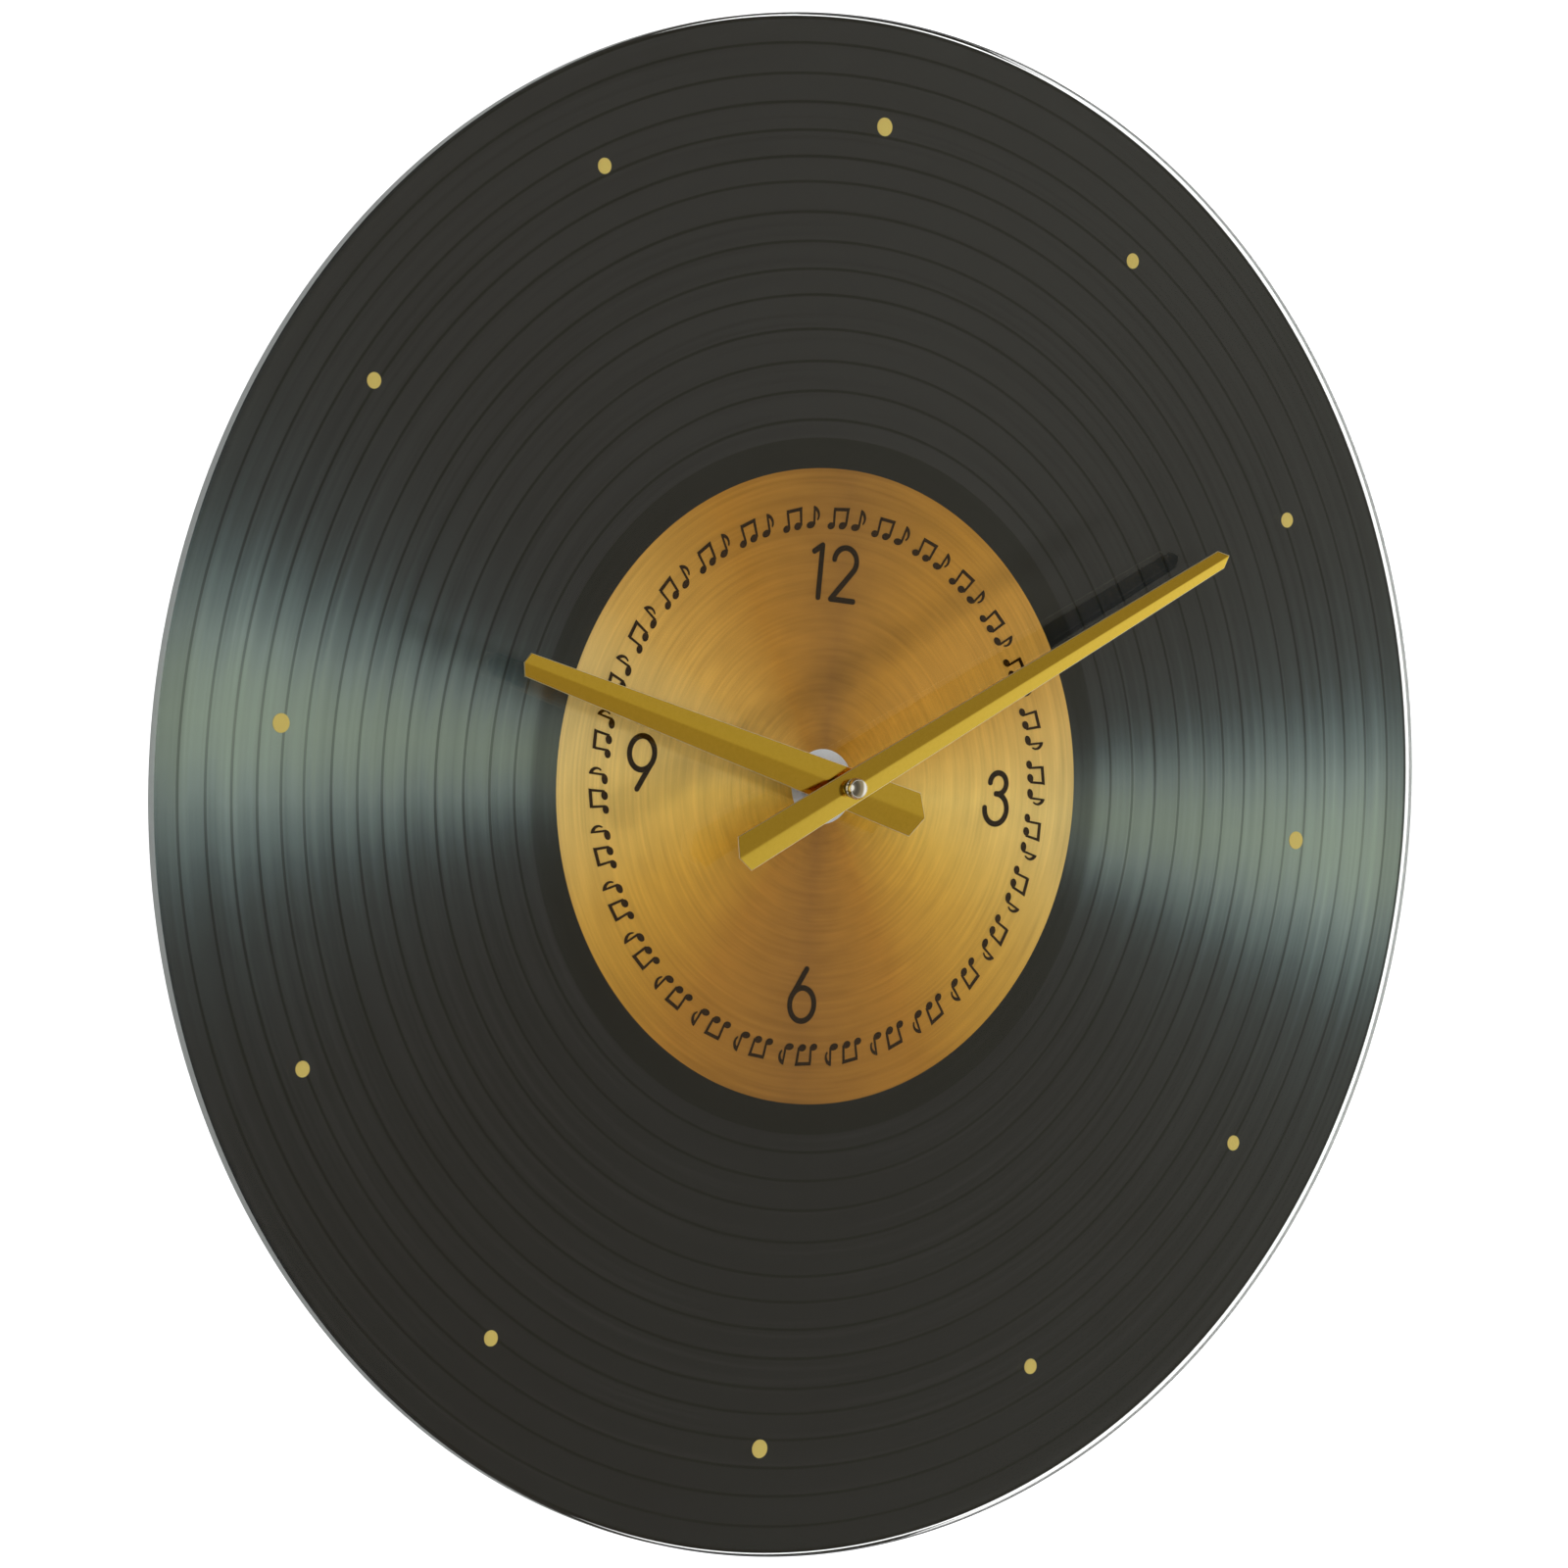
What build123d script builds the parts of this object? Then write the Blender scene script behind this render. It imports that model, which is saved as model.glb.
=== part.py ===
"""A glass wall clock whose round dial is printed to look like a vinyl record.

The dial is a flat disc of clear glass with the printed film behind it.  A battery
movement is clamped behind the middle of the disc, and two folded metal hands turn
in front of it.

Frame: +Z is up through the 12, -Y points out of the dial towards the room, and the
wall is the plane Y = 0.  The origin is where the axis of the hands meets the wall.

Pieces are drawn flat on the dial, X to the right and Y up, with the local Z as the
distance out from the wall.  save() stands each one up into the clock's own frame.
All sizes are in millimetres, and a "depth" is a distance out from the wall.
"""

import os
from math import atan2, cos, degrees, hypot, pi, radians, sin

from build123d import *

os.makedirs("parts", exist_ok=True)

# ---------------------------------------------------------------- driving sizes
# The layers, counted out from the wall.
COVER_THICK = 1.2
CASE_DEPTH = 16.0
BRACKET_THICK = 1.0
GASKET_THICK = 1.0
BACKING_THICK = 0.3
FILM_THICK = 0.3
INK_THICK = 0.15
INK_GAP = 0.2
GLASS_THICK = 4.0

BRACKET_BACK = CASE_DEPTH
GASKET_BACK = BRACKET_BACK + BRACKET_THICK
BACKING_BACK = GASKET_BACK + GASKET_THICK
FILM_BACK = BACKING_BACK + BACKING_THICK
FILM_FRONT = FILM_BACK + FILM_THICK
GLASS_BACK = FILM_FRONT + INK_GAP
GLASS_FRONT = GLASS_BACK + GLASS_THICK

# The dial.
DISC_RADIUS = 215.0
DISC_HOLE_RADIUS = 4.5
DISC_ARRIS = 0.5
PRINT_RADIUS = 214.2
LABEL_RADIUS = 88.8
SPOT_RADIUS = 10.5
# each hour's dot from the hands' axis, to the right and up; an hour that isn't given mirrors one on the right
DOT_PLACES = {
    12: (0.0, 185.6),
    1: (92.0, 160.8),
    2: (158.2, 93.5),
    3: (172.8, 0.3),
    4: (159.7, -90.0),
    5: (92.4, -158.4),
    6: (0.0, -185.2),
    9: (-176.5, 0.3),
}
QUARTER_DOT = 2.6
HOUR_DOT = 2.2
NOTE_RING_RADIUS = 75.0
NOTE_GROUPS = 30
STROKE = 1.6

# The threaded bush and what it clamps.
BUSH_RADIUS = 4.0
BUSH_BORE = 2.8
BUSH_FRONT = GLASS_FRONT + 4.6
BUSH_FLANGE_RADIUS = 6.5
BUSH_FLANGE_THICK = 0.7
THREAD_PITCH = 0.75
THREAD_DEPTH = 0.4
GASKET_RADIUS = 13.0
RUBBER_THICK = 0.6
WASHER_THICK = 0.6
WASHER_RADIUS = 6.3
NUT_THICK = 2.5
NUT_FLATS = 10.4

# The arbors of the two hands.
HOUR_TUBE_RADIUS = 2.75
HOUR_TUBE_BORE = 1.75
MINUTE_ARBOR_RADIUS = 1.7
MINUTE_SEAT_RADIUS = 1.5
MINUTE_END_RADIUS = 1.0

# The hands: where each one points, and its folded sheet.
HAND_SHEET = 0.5
HAND_RISE = 0.8
HOUR_POINTS = 282.0
HOUR_TIP = 112.8
HOUR_TAIL = 28.3
HOUR_TIP_WIDTH = 6.65
HOUR_TAIL_WIDTH = 12.8
HOUR_TIP_POINT = 1.9
HOUR_TAIL_POINT = 3.1
HOUR_EDGE_FRONT = GLASS_FRONT + 8.7
MINUTE_POINTS = 57.8
MINUTE_TIP = 149.0
MINUTE_TAIL = 42.5
MINUTE_TIP_WIDTH = 5.5
MINUTE_TAIL_WIDTH = 10.5
MINUTE_TIP_POINT = 2.8
MINUTE_TAIL_POINT = 2.6
MINUTE_EDGE_FRONT = GLASS_FRONT + 11.2

# The movement case.
CASE_HALF_WIDTH = 28.0
CASE_TOP = 21.0
CASE_BOTTOM = -35.2
CASE_WALL = 1.2
FRONT_WALL = 1.0
INNER_FRONT = CASE_DEPTH - FRONT_WALL
CASE_CORNER = 2.5
BAY_TOP = -19.6
BAY_BOTTOM = -34.0
BAY_HALF_WIDTH = 27.0
PARTITION_TOP = -18.4

# The battery.
BATTERY_RADIUS = 7.0
BATTERY_LENGTH = 49.5
BATTERY_NUB_RADIUS = 2.75
BATTERY_NUB_LENGTH = 1.0
BATTERY_DEPTH = 7.9
BATTERY_Z = -26.8
BATTERY_PLUS_X = 26.2

# The wheels: tooth counts and modules.
CANNON_TEETH = 12
MOTION_TEETH = 36
MOTION_MODULE = 0.5
MOTION_PINION_TEETH = 10
HOUR_TEETH = 40
HOUR_MODULE = 0.48
KNOB_TEETH = 12
SECONDS_PINION_TEETH = 8
THIRD_TEETH = 60
THIRD_MODULE = 0.36
THIRD_PINION_TEETH = 8
CENTRE_TEETH = 64
CENTRE_MODULE = 0.34
SECONDS_TEETH = 60
INTERMEDIATE_PINION_TEETH = 10
SECONDS_MODULE = 0.3
INTERMEDIATE_TEETH = 60
ROTOR_TEETH = 12
ROTOR_MODULE = 0.22
BACKLASH = 0.2


def along(start, distance, angle):
    """The point a distance from start, in a direction in degrees from +X."""
    return (start[0] + distance * cos(radians(angle)), start[1] + distance * sin(radians(angle)))


def centres(module, teeth_a, teeth_b):
    """The distance between the axes of two wheels in mesh."""
    return module * (teeth_a + teeth_b) / 2


# The axes of the wheels, on the dial's plane.
CENTRE = (0.0, 0.0)
MOTION_AXIS = along(CENTRE, centres(MOTION_MODULE, CANNON_TEETH, MOTION_TEETH), 150)
KNOB_AXIS = along(MOTION_AXIS, centres(MOTION_MODULE, MOTION_TEETH, KNOB_TEETH), 252.5)
THIRD_AXIS = along(CENTRE, centres(THIRD_MODULE, SECONDS_PINION_TEETH, THIRD_TEETH), -15)
SECOND_DROP = centres(SECONDS_MODULE, SECONDS_TEETH, INTERMEDIATE_PINION_TEETH)
INTERMEDIATE_AXIS = along(CENTRE, SECOND_DROP, 100)
ROTOR_DROP = centres(ROTOR_MODULE, INTERMEDIATE_TEETH, ROTOR_TEETH)
ROTOR_AXIS = along(INTERMEDIATE_AXIS, ROTOR_DROP, 155)


# ---------------------------------------------------------------- drawing helpers
def save(name, *solids):
    """Stands the piece up into the clock's frame and writes its STEP file."""
    upright = [Rot(90, 0, 0) * solid for piece in solids for solid in piece.solids()]
    shape = upright[0] if len(upright) == 1 else Compound(children=upright)
    export_step(shape, f"parts/{name}.step")
    print(name, len(upright))


def drum(radius, low, high, at=CENTRE):
    """A round bar along the depth, from one depth to another."""
    bar = Cylinder(radius, high - low, align=(Align.CENTER, Align.CENTER, Align.MIN))
    return Pos(at[0], at[1], low) * bar


def tube(radius, bore, low, high, at=CENTRE):
    return drum(radius, low, high, at) - drum(bore, low - 1, high + 1, at)


def block(left, right, bottom, top, low, high):
    middle = ((left + right) / 2, (bottom + top) / 2, (low + high) / 2)
    return Pos(*middle) * Box(right - left, top - bottom, high - low)


def slab(sketch, low, high):
    """A flat sketch given thickness, from one depth to another."""
    return Pos(0, 0, low) * extrude(sketch, amount=high - low)


def polygon(*points):
    return make_face(Polyline(*points, close=True))


def rounded_plate(left, right, bottom, top, corner, low, high):
    outline = RectangleRounded(right - left, top - bottom, corner)
    return slab(Pos((left + right) / 2, (bottom + top) / 2) * outline, low, high)


def turned(points, at=CENTRE):
    """A turned piece from its (radius, depth) outline, which starts on the axis."""
    outline = Plane.XZ * make_face(Polyline(*points, close=True))
    return Pos(at[0], at[1], 0) * revolve(outline, Axis.Z)


# ---------------------------------------------------------------- wheels
def wheel_outline(teeth, module, turn, addendum=0.85, dedendum=1.2):
    """The outline of a small moulded wheel, with one tooth centred on the angle turn."""
    pitch = module * teeth / 2
    half = pi / (2 * teeth) * (1 - BACKLASH)
    root = pitch - dedendum * module
    shoulder = pitch + 0.45 * addendum * module
    tip = pitch + addendum * module
    flank = [
        (root, -half),
        (pitch, -half),
        (shoulder, -half * 0.72),
        (tip, -half * 0.3),
        (tip, half * 0.3),
        (shoulder, half * 0.72),
        (pitch, half),
        (root, half),
    ]
    points = []
    for tooth in range(teeth):
        middle = turn + 2 * pi * tooth / teeth
        points += [(r * cos(middle + a), r * sin(middle + a)) for r, a in flank]
    return points


def wheel(teeth, module, turn, low, high, at=CENTRE):
    outline = polygon(*wheel_outline(teeth, module, turn))
    return Pos(at[0], at[1], 0) * slab(outline, low, high)


def heading(start, end):
    return atan2(end[1] - start[1], end[0] - start[0])


def mesh_turn(turn, teeth, start, end, mate_teeth):
    """The turn that puts a wheel at end in mesh with the wheel at start."""
    angle = heading(start, end)
    return angle + pi + (angle - turn) * teeth / mate_teeth + pi / mate_teeth


# Where one tooth of each wheel points, in radians, with every pair in mesh.
CANNON_TURN = 0.0
MOTION_TURN = mesh_turn(CANNON_TURN, CANNON_TEETH, CENTRE, MOTION_AXIS, MOTION_TEETH)
KNOB_TURN = mesh_turn(MOTION_TURN, MOTION_TEETH, MOTION_AXIS, KNOB_AXIS, KNOB_TEETH)
MOTION_PINION_TURN = 0.0
HOUR_TURN = mesh_turn(MOTION_PINION_TURN, MOTION_PINION_TEETH, MOTION_AXIS, CENTRE, HOUR_TEETH)
SECONDS_TURN = 0.0
SECONDS_PINION_TURN = 0.0
THIRD_TURN = mesh_turn(SECONDS_PINION_TURN, SECONDS_PINION_TEETH, CENTRE, THIRD_AXIS, THIRD_TEETH)
THIRD_PINION_TURN = 0.0
CENTRE_TURN = mesh_turn(THIRD_PINION_TURN, THIRD_PINION_TEETH, THIRD_AXIS, CENTRE, CENTRE_TEETH)
INTERMEDIATE_PINION_TURN = mesh_turn(
    SECONDS_TURN, SECONDS_TEETH, CENTRE, INTERMEDIATE_AXIS, INTERMEDIATE_PINION_TEETH
)
INTERMEDIATE_TURN = 0.0
ROTOR_TURN = mesh_turn(
    INTERMEDIATE_TURN, INTERMEDIATE_TEETH, INTERMEDIATE_AXIS, ROTOR_AXIS, ROTOR_TEETH
)

# The depths of the wheels, back of each one to its front.
SECONDS_WHEEL = (3.9, 4.4)
SECONDS_PINION = (5.2, 6.6)
THIRD_WHEEL = (5.6, 6.2)
THIRD_PINION = (8.0, 9.2)
CENTRE_WHEEL = (8.3, 8.9)
INTERMEDIATE_WHEEL = (2.4, 2.9)
INTERMEDIATE_PINION = (3.5, 4.8)
ROTOR_PINION = (2.1, 3.2)
CANNON_PINION = (10.3, 11.5)
MOTION_WHEEL = (10.5, 11.3)
MOTION_PINION = (11.3, 14.0)
HOUR_WHEEL = (13.0, 14.0)
KNOB_PINION = (10.4, 11.4)
TRAIN_PLATE = (6.9, 7.7)
STATOR = (5.9, 6.9)
PIVOT_RADIUS = 0.5
RUNNING = 0.05


# ---------------------------------------------------------------- the dial
def glass_disc():
    disc = drum(DISC_RADIUS, GLASS_BACK, GLASS_FRONT) - drum(DISC_HOLE_RADIUS, GLASS_BACK, GLASS_FRONT)
    rims = [edge for edge in disc.edges() if edge.geom_type == GeomType.CIRCLE and edge.radius > 100]
    return chamfer(rims, DISC_ARRIS)


def hour_dots():
    """Twelve round marks; the four on the quarters are a little larger."""
    dots = []
    for hour in range(1, 13):
        x, z = DOT_PLACES[hour] if hour in DOT_PLACES else DOT_PLACES[12 - hour]
        if hour > 6 and hour not in DOT_PLACES:
            x = -x
        size = QUARTER_DOT if hour % 3 == 0 else HOUR_DOT
        dots.append(drum(size, FILM_FRONT, FILM_FRONT + INK_THICK, (x, z)))
    return dots


def bar(start, end, width=STROKE):
    """A straight pen stroke with round ends."""
    length = hypot(end[0] - start[0], end[1] - start[1])
    place = Pos((start[0] + end[0]) / 2, (start[1] + end[1]) / 2) * Rot(0, 0, degrees(heading(start, end)))
    return place * SlotCenterToCenter(length, width)


def bow(middle, across, up, start, sweep):
    """A curved pen stroke with round ends, along part of an ellipse."""
    half = STROKE / 2
    outer = EllipticalCenterArc(middle, across + half, up + half, start, arc_size=sweep)
    inner = EllipticalCenterArc(middle, across - half, up - half, start, arc_size=sweep)
    stroke = make_face([outer, Line(outer @ 1, inner @ 1), inner, Line(inner @ 0, outer @ 0)])
    for angle in (start, start + sweep):
        end = (middle[0] + across * cos(radians(angle)), middle[1] + up * sin(radians(angle)))
        stroke += Pos(*end) * Circle(half)
    return stroke


def loop(middle, across, up):
    half = STROKE / 2
    ring = Ellipse(across + half, up + half) - Ellipse(across - half, up - half)
    return Pos(*middle) * ring


def six():
    return loop((0, -2.55), 4.15, 4.65) + bar((0.6, 7.4), (-3.35, 0.1))


def numerals():
    """12, 3, 6 and 9 in a plain round pen, each about its own middle."""
    one = bar((-5.15, 7.9), (-5.15, -6.65)) + bar((-7.75, 6.0), (-5.15, 7.9))
    two = bow((3.15, 4.2), 3.85, 3.85, -38, 213)
    two += bar((6.18, 1.83), (-0.8, -6.65)) + bar((-0.8, -6.65), (6.9, -6.65))
    three = bow((-0.15, 4.65), 2.85, 3.0, -72, 252) + bar((-0.6, 1.65), (0.9, 1.65))
    three += bow((-0.3, -2.65), 3.9, 4.3, -180, 256)
    places = [
        (Pos(-2.5, 59.0), one),
        (Pos(-2.5, 59.0), two),
        (Pos(61.4, 2.0), three),
        (Pos(0, -58.5), six()),
        (Pos(-61.5, 1.0) * Rot(0, 0, 180), six()),
    ]
    return [slab(place * sketch, FILM_FRONT, FILM_FRONT + INK_THICK) for place, sketch in places]


def note_head(x, y, across, up, tilt):
    return Pos(x, y) * Rot(0, 0, tilt) * Ellipse(across, up)


def beamed_notes():
    """Two joined notes: heads, stems and the slanting beam."""
    stems = polygon((-5.0, 2.2), (-4.3, 2.2), (-4.2, -2.4), (-4.8, -2.4))
    stems += polygon((-0.45, 2.6), (0.3, 2.6), (-0.1, -1.9), (-0.75, -1.9))
    beam = polygon((-5.0, 2.75), (0.45, 3.3), (0.25, 2.3), (-4.7, 1.8))
    return stems + beam + note_head(-5.45, -2.4, 1.2, 0.95, 25) + note_head(-1.6, -1.95, 1.25, 1.0, 25)


def single_note():
    """One note with its curled flag."""
    stem = polygon((4.45, 3.2), (4.95, 2.9), (4.4, -1.9), (3.75, -1.9))
    outer = ThreePointArc((4.6, 3.25), (6.25, 1.0), (5.35, -0.95))
    inner = ThreePointArc((5.15, -0.55), (5.55, 0.9), (4.7, 2.0))
    flag = make_face([outer, Line(outer @ 1, inner @ 0), inner, Line(inner @ 1, outer @ 0)])
    return stem + flag + note_head(2.85, -1.95, 1.4, 0.95, 12)


def note_ring():
    """The pair and the single note, repeated round the label with their heads inwards."""
    notes = []
    for group in range(NOTE_GROUPS):
        place = Rot(0, 0, -360 * group / NOTE_GROUPS) * Pos(0, NOTE_RING_RADIUS)
        for sketch in (beamed_notes(), single_note()):
            notes.append(slab(place * sketch, FILM_FRONT, FILM_FRONT + INK_THICK))
    return notes


# ---------------------------------------------------------------- the clamp
def threaded_bush():
    """The flanged bush of the movement, with its thread as close ridges."""
    flange_back = INNER_FRONT - BUSH_FLANGE_THICK
    core = BUSH_RADIUS - THREAD_DEPTH
    outline = [(BUSH_BORE, flange_back), (BUSH_FLANGE_RADIUS, flange_back), (BUSH_FLANGE_RADIUS, INNER_FRONT)]
    outline += [(BUSH_RADIUS, INNER_FRONT), (BUSH_RADIUS, CASE_DEPTH + 0.2)]
    depth = CASE_DEPTH + 0.2
    while depth + THREAD_PITCH < BUSH_FRONT - 0.3:
        outline += [(core, depth + THREAD_PITCH / 2), (BUSH_RADIUS, depth + THREAD_PITCH)]
        depth += THREAD_PITCH
    outline += [(core, BUSH_FRONT), (BUSH_BORE, BUSH_FRONT)]
    return turned(outline)


def hex_nut():
    low = GLASS_FRONT + RUBBER_THICK + WASHER_THICK
    high = low + NUT_THICK
    body = slab(RegularPolygon(NUT_FLATS / 2, 6, major_radius=False), low, high)
    corner = NUT_FLATS / 2 / cos(pi / 6)
    bevel = 0.5
    shell = [(0, low), (corner - bevel, low), (corner, low + bevel), (corner, high - bevel)]
    shell += [(corner - bevel, high), (0, high)]
    return (body & turned(shell)) - drum(BUSH_RADIUS, low - 1, high + 1)


SHELF_HEIGHT = CASE_TOP + 1.0
TAB_BACK = 1.5
TAB_TOP = 43.0
TAB_HALF_WIDTH = 12.0
HEAD_HOLE_RADIUS = 4.25
HEAD_HOLE_Z = 29.5
SLOT_HALF_WIDTH = 2.25
SLOT_TOP = 37.5


def hanger_bracket():
    """The steel saddle under the bush's nut, folded back over the case to a keyhole tab."""
    front = BRACKET_BACK + BRACKET_THICK
    saddle = rounded_plate(-14, 14, -13, SHELF_HEIGHT + BRACKET_THICK, 3, BRACKET_BACK, front)
    saddle += block(-14, 14, SHELF_HEIGHT - 5, SHELF_HEIGHT + BRACKET_THICK, BRACKET_BACK, front)
    saddle -= drum(BUSH_RADIUS + 0.1, BRACKET_BACK - 1, front + 1)
    shelf = block(-12, 12, SHELF_HEIGHT, SHELF_HEIGHT + BRACKET_THICK, TAB_BACK, front)
    tab = rounded_plate(-TAB_HALF_WIDTH, TAB_HALF_WIDTH, SHELF_HEIGHT - 9, TAB_TOP, 8, TAB_BACK, TAB_BACK + 1)
    tab -= block(-20, 20, 0, SHELF_HEIGHT, 0, 5)
    tab -= drum(HEAD_HOLE_RADIUS, 0, 5, (0, HEAD_HOLE_Z))
    tab -= block(-SLOT_HALF_WIDTH, SLOT_HALF_WIDTH, HEAD_HOLE_Z, SLOT_TOP - SLOT_HALF_WIDTH, 0, 5)
    tab -= drum(SLOT_HALF_WIDTH, 0, 5, (0, SLOT_TOP - SLOT_HALF_WIDTH))
    return saddle + shelf + tab


# ---------------------------------------------------------------- the hands
def folded_hand(tip, tail, tip_width, tail_width, tip_point, tail_point, edge_front):
    """A tapering sheet hand along +Y, folded to a ridge down its middle."""
    tip_corner = tip - tip_point
    tail_corner = tail - tail_point
    taper = (tip_width - tail_width) / (tip_corner + tail_corner)

    def half_width(y):
        return (tail_width + taper * (y + tail_corner)) / 2

    overhang = 1.4
    sections = []
    for y in (-tail - 5, tip + 5):
        wide = half_width(y) * overhang
        low = edge_front - HAND_RISE * (overhang - 1)
        ridge = edge_front + HAND_RISE
        outline = [(-wide, low), (0, ridge), (wide, low)]
        outline += [(wide, low - HAND_SHEET), (0, ridge - HAND_SHEET), (-wide, low - HAND_SHEET)]
        plane = Plane(origin=(0, y, 0), x_dir=(1, 0, 0), z_dir=(0, -1, 0))
        sections.append(plane * polygon(*outline))
    outline = polygon(
        (0, tip),
        (half_width(tip_corner), tip_corner),
        (half_width(-tail_corner), -tail_corner),
        (0, -tail),
        (-half_width(-tail_corner), -tail_corner),
        (-half_width(tip_corner), tip_corner),
    )
    return loft(sections, ruled=True) & slab(outline, edge_front - 3, edge_front + 3)


HOUR_COLLET_BACK = HOUR_EDGE_FRONT - 3.0
HOUR_COLLET_RADIUS = 3.4
HOUR_TUBE_FRONT = HOUR_EDGE_FRONT + 0.5


def hour_hand():
    sheet = folded_hand(
        HOUR_TIP, HOUR_TAIL, HOUR_TIP_WIDTH, HOUR_TAIL_WIDTH, HOUR_TIP_POINT, HOUR_TAIL_POINT, HOUR_EDGE_FRONT
    )
    hand = sheet + drum(HOUR_COLLET_RADIUS, HOUR_COLLET_BACK, HOUR_EDGE_FRONT)
    hand -= drum(HOUR_TUBE_RADIUS, HOUR_COLLET_BACK - 1, HOUR_EDGE_FRONT + 3)
    return Rot(0, 0, -HOUR_POINTS) * hand


MINUTE_COLLET_BACK = MINUTE_EDGE_FRONT - 1.3
MINUTE_COLLET_RADIUS = 2.5
MINUTE_SHOULDER = MINUTE_EDGE_FRONT - 0.6
RIDGE_FRONT = MINUTE_EDGE_FRONT + HAND_RISE


def minute_hand():
    sheet = folded_hand(
        MINUTE_TIP,
        MINUTE_TAIL,
        MINUTE_TIP_WIDTH,
        MINUTE_TAIL_WIDTH,
        MINUTE_TIP_POINT,
        MINUTE_TAIL_POINT,
        MINUTE_EDGE_FRONT,
    )
    hand = sheet + drum(MINUTE_COLLET_RADIUS, MINUTE_COLLET_BACK, MINUTE_EDGE_FRONT)
    hand -= drum(MINUTE_ARBOR_RADIUS, MINUTE_COLLET_BACK - 1, MINUTE_SHOULDER)
    hand -= drum(MINUTE_SEAT_RADIUS, MINUTE_SHOULDER, RIDGE_FRONT + 1)
    return Rot(0, 0, -MINUTE_POINTS) * hand


CAP_RADIUS = 3.1
CAP_NECK = 2.3
CAP_FRONT = RIDGE_FRONT + 4.9
ARBOR_END = RIDGE_FRONT + 2.0


def cap_nut():
    """The polished domed nut on the end of the minute arbor."""
    base = RIDGE_FRONT
    bore = [Line((MINUTE_END_RADIUS, base), (2.7, base)), Line((2.7, base), (2.7, base + 0.4))]
    neck = [Line((2.7, base + 0.4), (CAP_NECK, base + 0.6))]
    neck += [Line((CAP_NECK, base + 0.6), (CAP_NECK, base + 1.4))]
    skirt = [Line((CAP_NECK, base + 1.4), (CAP_RADIUS, base + 1.8))]
    skirt += [Line((CAP_RADIUS, base + 1.8), (CAP_RADIUS, base + 2.2))]
    rise = CAP_FRONT - base - 2.2
    dome_radius = (CAP_RADIUS**2 + rise**2) / (2 * rise)
    half_angle = atan2(CAP_RADIUS, dome_radius - rise) / 2
    middle = (dome_radius * sin(half_angle), CAP_FRONT - dome_radius * (1 - cos(half_angle)))
    dome = [ThreePointArc((CAP_RADIUS, base + 2.2), middle, (0, CAP_FRONT))]
    hollow = [Line((0, CAP_FRONT), (0, ARBOR_END)), Line((0, ARBOR_END), (MINUTE_END_RADIUS, ARBOR_END))]
    hollow += [Line((MINUTE_END_RADIUS, ARBOR_END), (MINUTE_END_RADIUS, base))]
    return revolve(Plane.XZ * make_face([*bore, *neck, *skirt, *dome, *hollow]), Axis.Z)


# ---------------------------------------------------------------- the wheels on their arbors
MINUTE_BACK = 7.9
CLUTCH_BACK = 8.98
CLUTCH_THICK = 0.3


def minute_arbor():
    """The arbor of the minute hand, with the cannon pinion moulded on it."""
    clutch_front = CLUTCH_BACK + CLUTCH_THICK
    outline = [
        (0, MINUTE_BACK),
        (2.4, MINUTE_BACK),
        (2.4, CENTRE_WHEEL[0] - 0.1),
        (1.6, CENTRE_WHEEL[0] - 0.1),
        (1.6, clutch_front),
        (2.2, clutch_front),
        (2.2, CANNON_PINION[1] + 0.8),
        (MINUTE_ARBOR_RADIUS, CANNON_PINION[1] + 0.8),
        (MINUTE_ARBOR_RADIUS, MINUTE_SHOULDER),
        (MINUTE_SEAT_RADIUS, MINUTE_SHOULDER),
        (MINUTE_SEAT_RADIUS, RIDGE_FRONT - 0.1),
        (MINUTE_END_RADIUS, RIDGE_FRONT - 0.1),
        (MINUTE_END_RADIUS, ARBOR_END),
        (0, ARBOR_END),
    ]
    return turned(outline) + wheel(CANNON_TEETH, MOTION_MODULE, CANNON_TURN, *CANNON_PINION)


def clutch_spring():
    """The springy washer that lets the hands be set against the train."""
    return tube(3.4, 1.7, CLUTCH_BACK, CLUTCH_BACK + CLUTCH_THICK)


def hour_wheel():
    toothed = wheel(HOUR_TEETH, HOUR_MODULE, HOUR_TURN, *HOUR_WHEEL)
    return toothed + drum(HOUR_TUBE_RADIUS, HOUR_WHEEL[0], HOUR_TUBE_FRONT) - drum(
        HOUR_TUBE_BORE, HOUR_WHEEL[0] - 1, HOUR_TUBE_FRONT + 1
    )


def motion_wheel():
    toothed = wheel(MOTION_TEETH, MOTION_MODULE, MOTION_TURN, *MOTION_WHEEL, MOTION_AXIS)
    pinion = wheel(MOTION_PINION_TEETH, HOUR_MODULE, MOTION_PINION_TURN, *MOTION_PINION, MOTION_AXIS)
    return toothed + pinion - drum(0.8 + RUNNING, 9, 15, MOTION_AXIS)


def centre_wheel():
    toothed = wheel(CENTRE_TEETH, CENTRE_MODULE, CENTRE_TURN, *CENTRE_WHEEL)
    windows = [drum(2.2, 8, 9, along(CENTRE, 6.4, 45 + 90 * k)) for k in range(4)]
    return toothed - drum(1.6 + RUNNING, 8, 9.5) - windows


def third_wheel():
    toothed = wheel(THIRD_TEETH, THIRD_MODULE, THIRD_TURN, *THIRD_WHEEL, THIRD_AXIS)
    windows = [drum(2.3, 5, 7, along(THIRD_AXIS, 6.2, 30 + 72 * k)) for k in range(5)]
    arbor = drum(0.6, THIRD_WHEEL[0], 13.2, THIRD_AXIS) + drum(PIVOT_RADIUS, 1.5, 14.0, THIRD_AXIS)
    pinion = wheel(THIRD_PINION_TEETH, CENTRE_MODULE, THIRD_PINION_TURN, *THIRD_PINION, THIRD_AXIS)
    return toothed - windows + arbor + pinion


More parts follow.
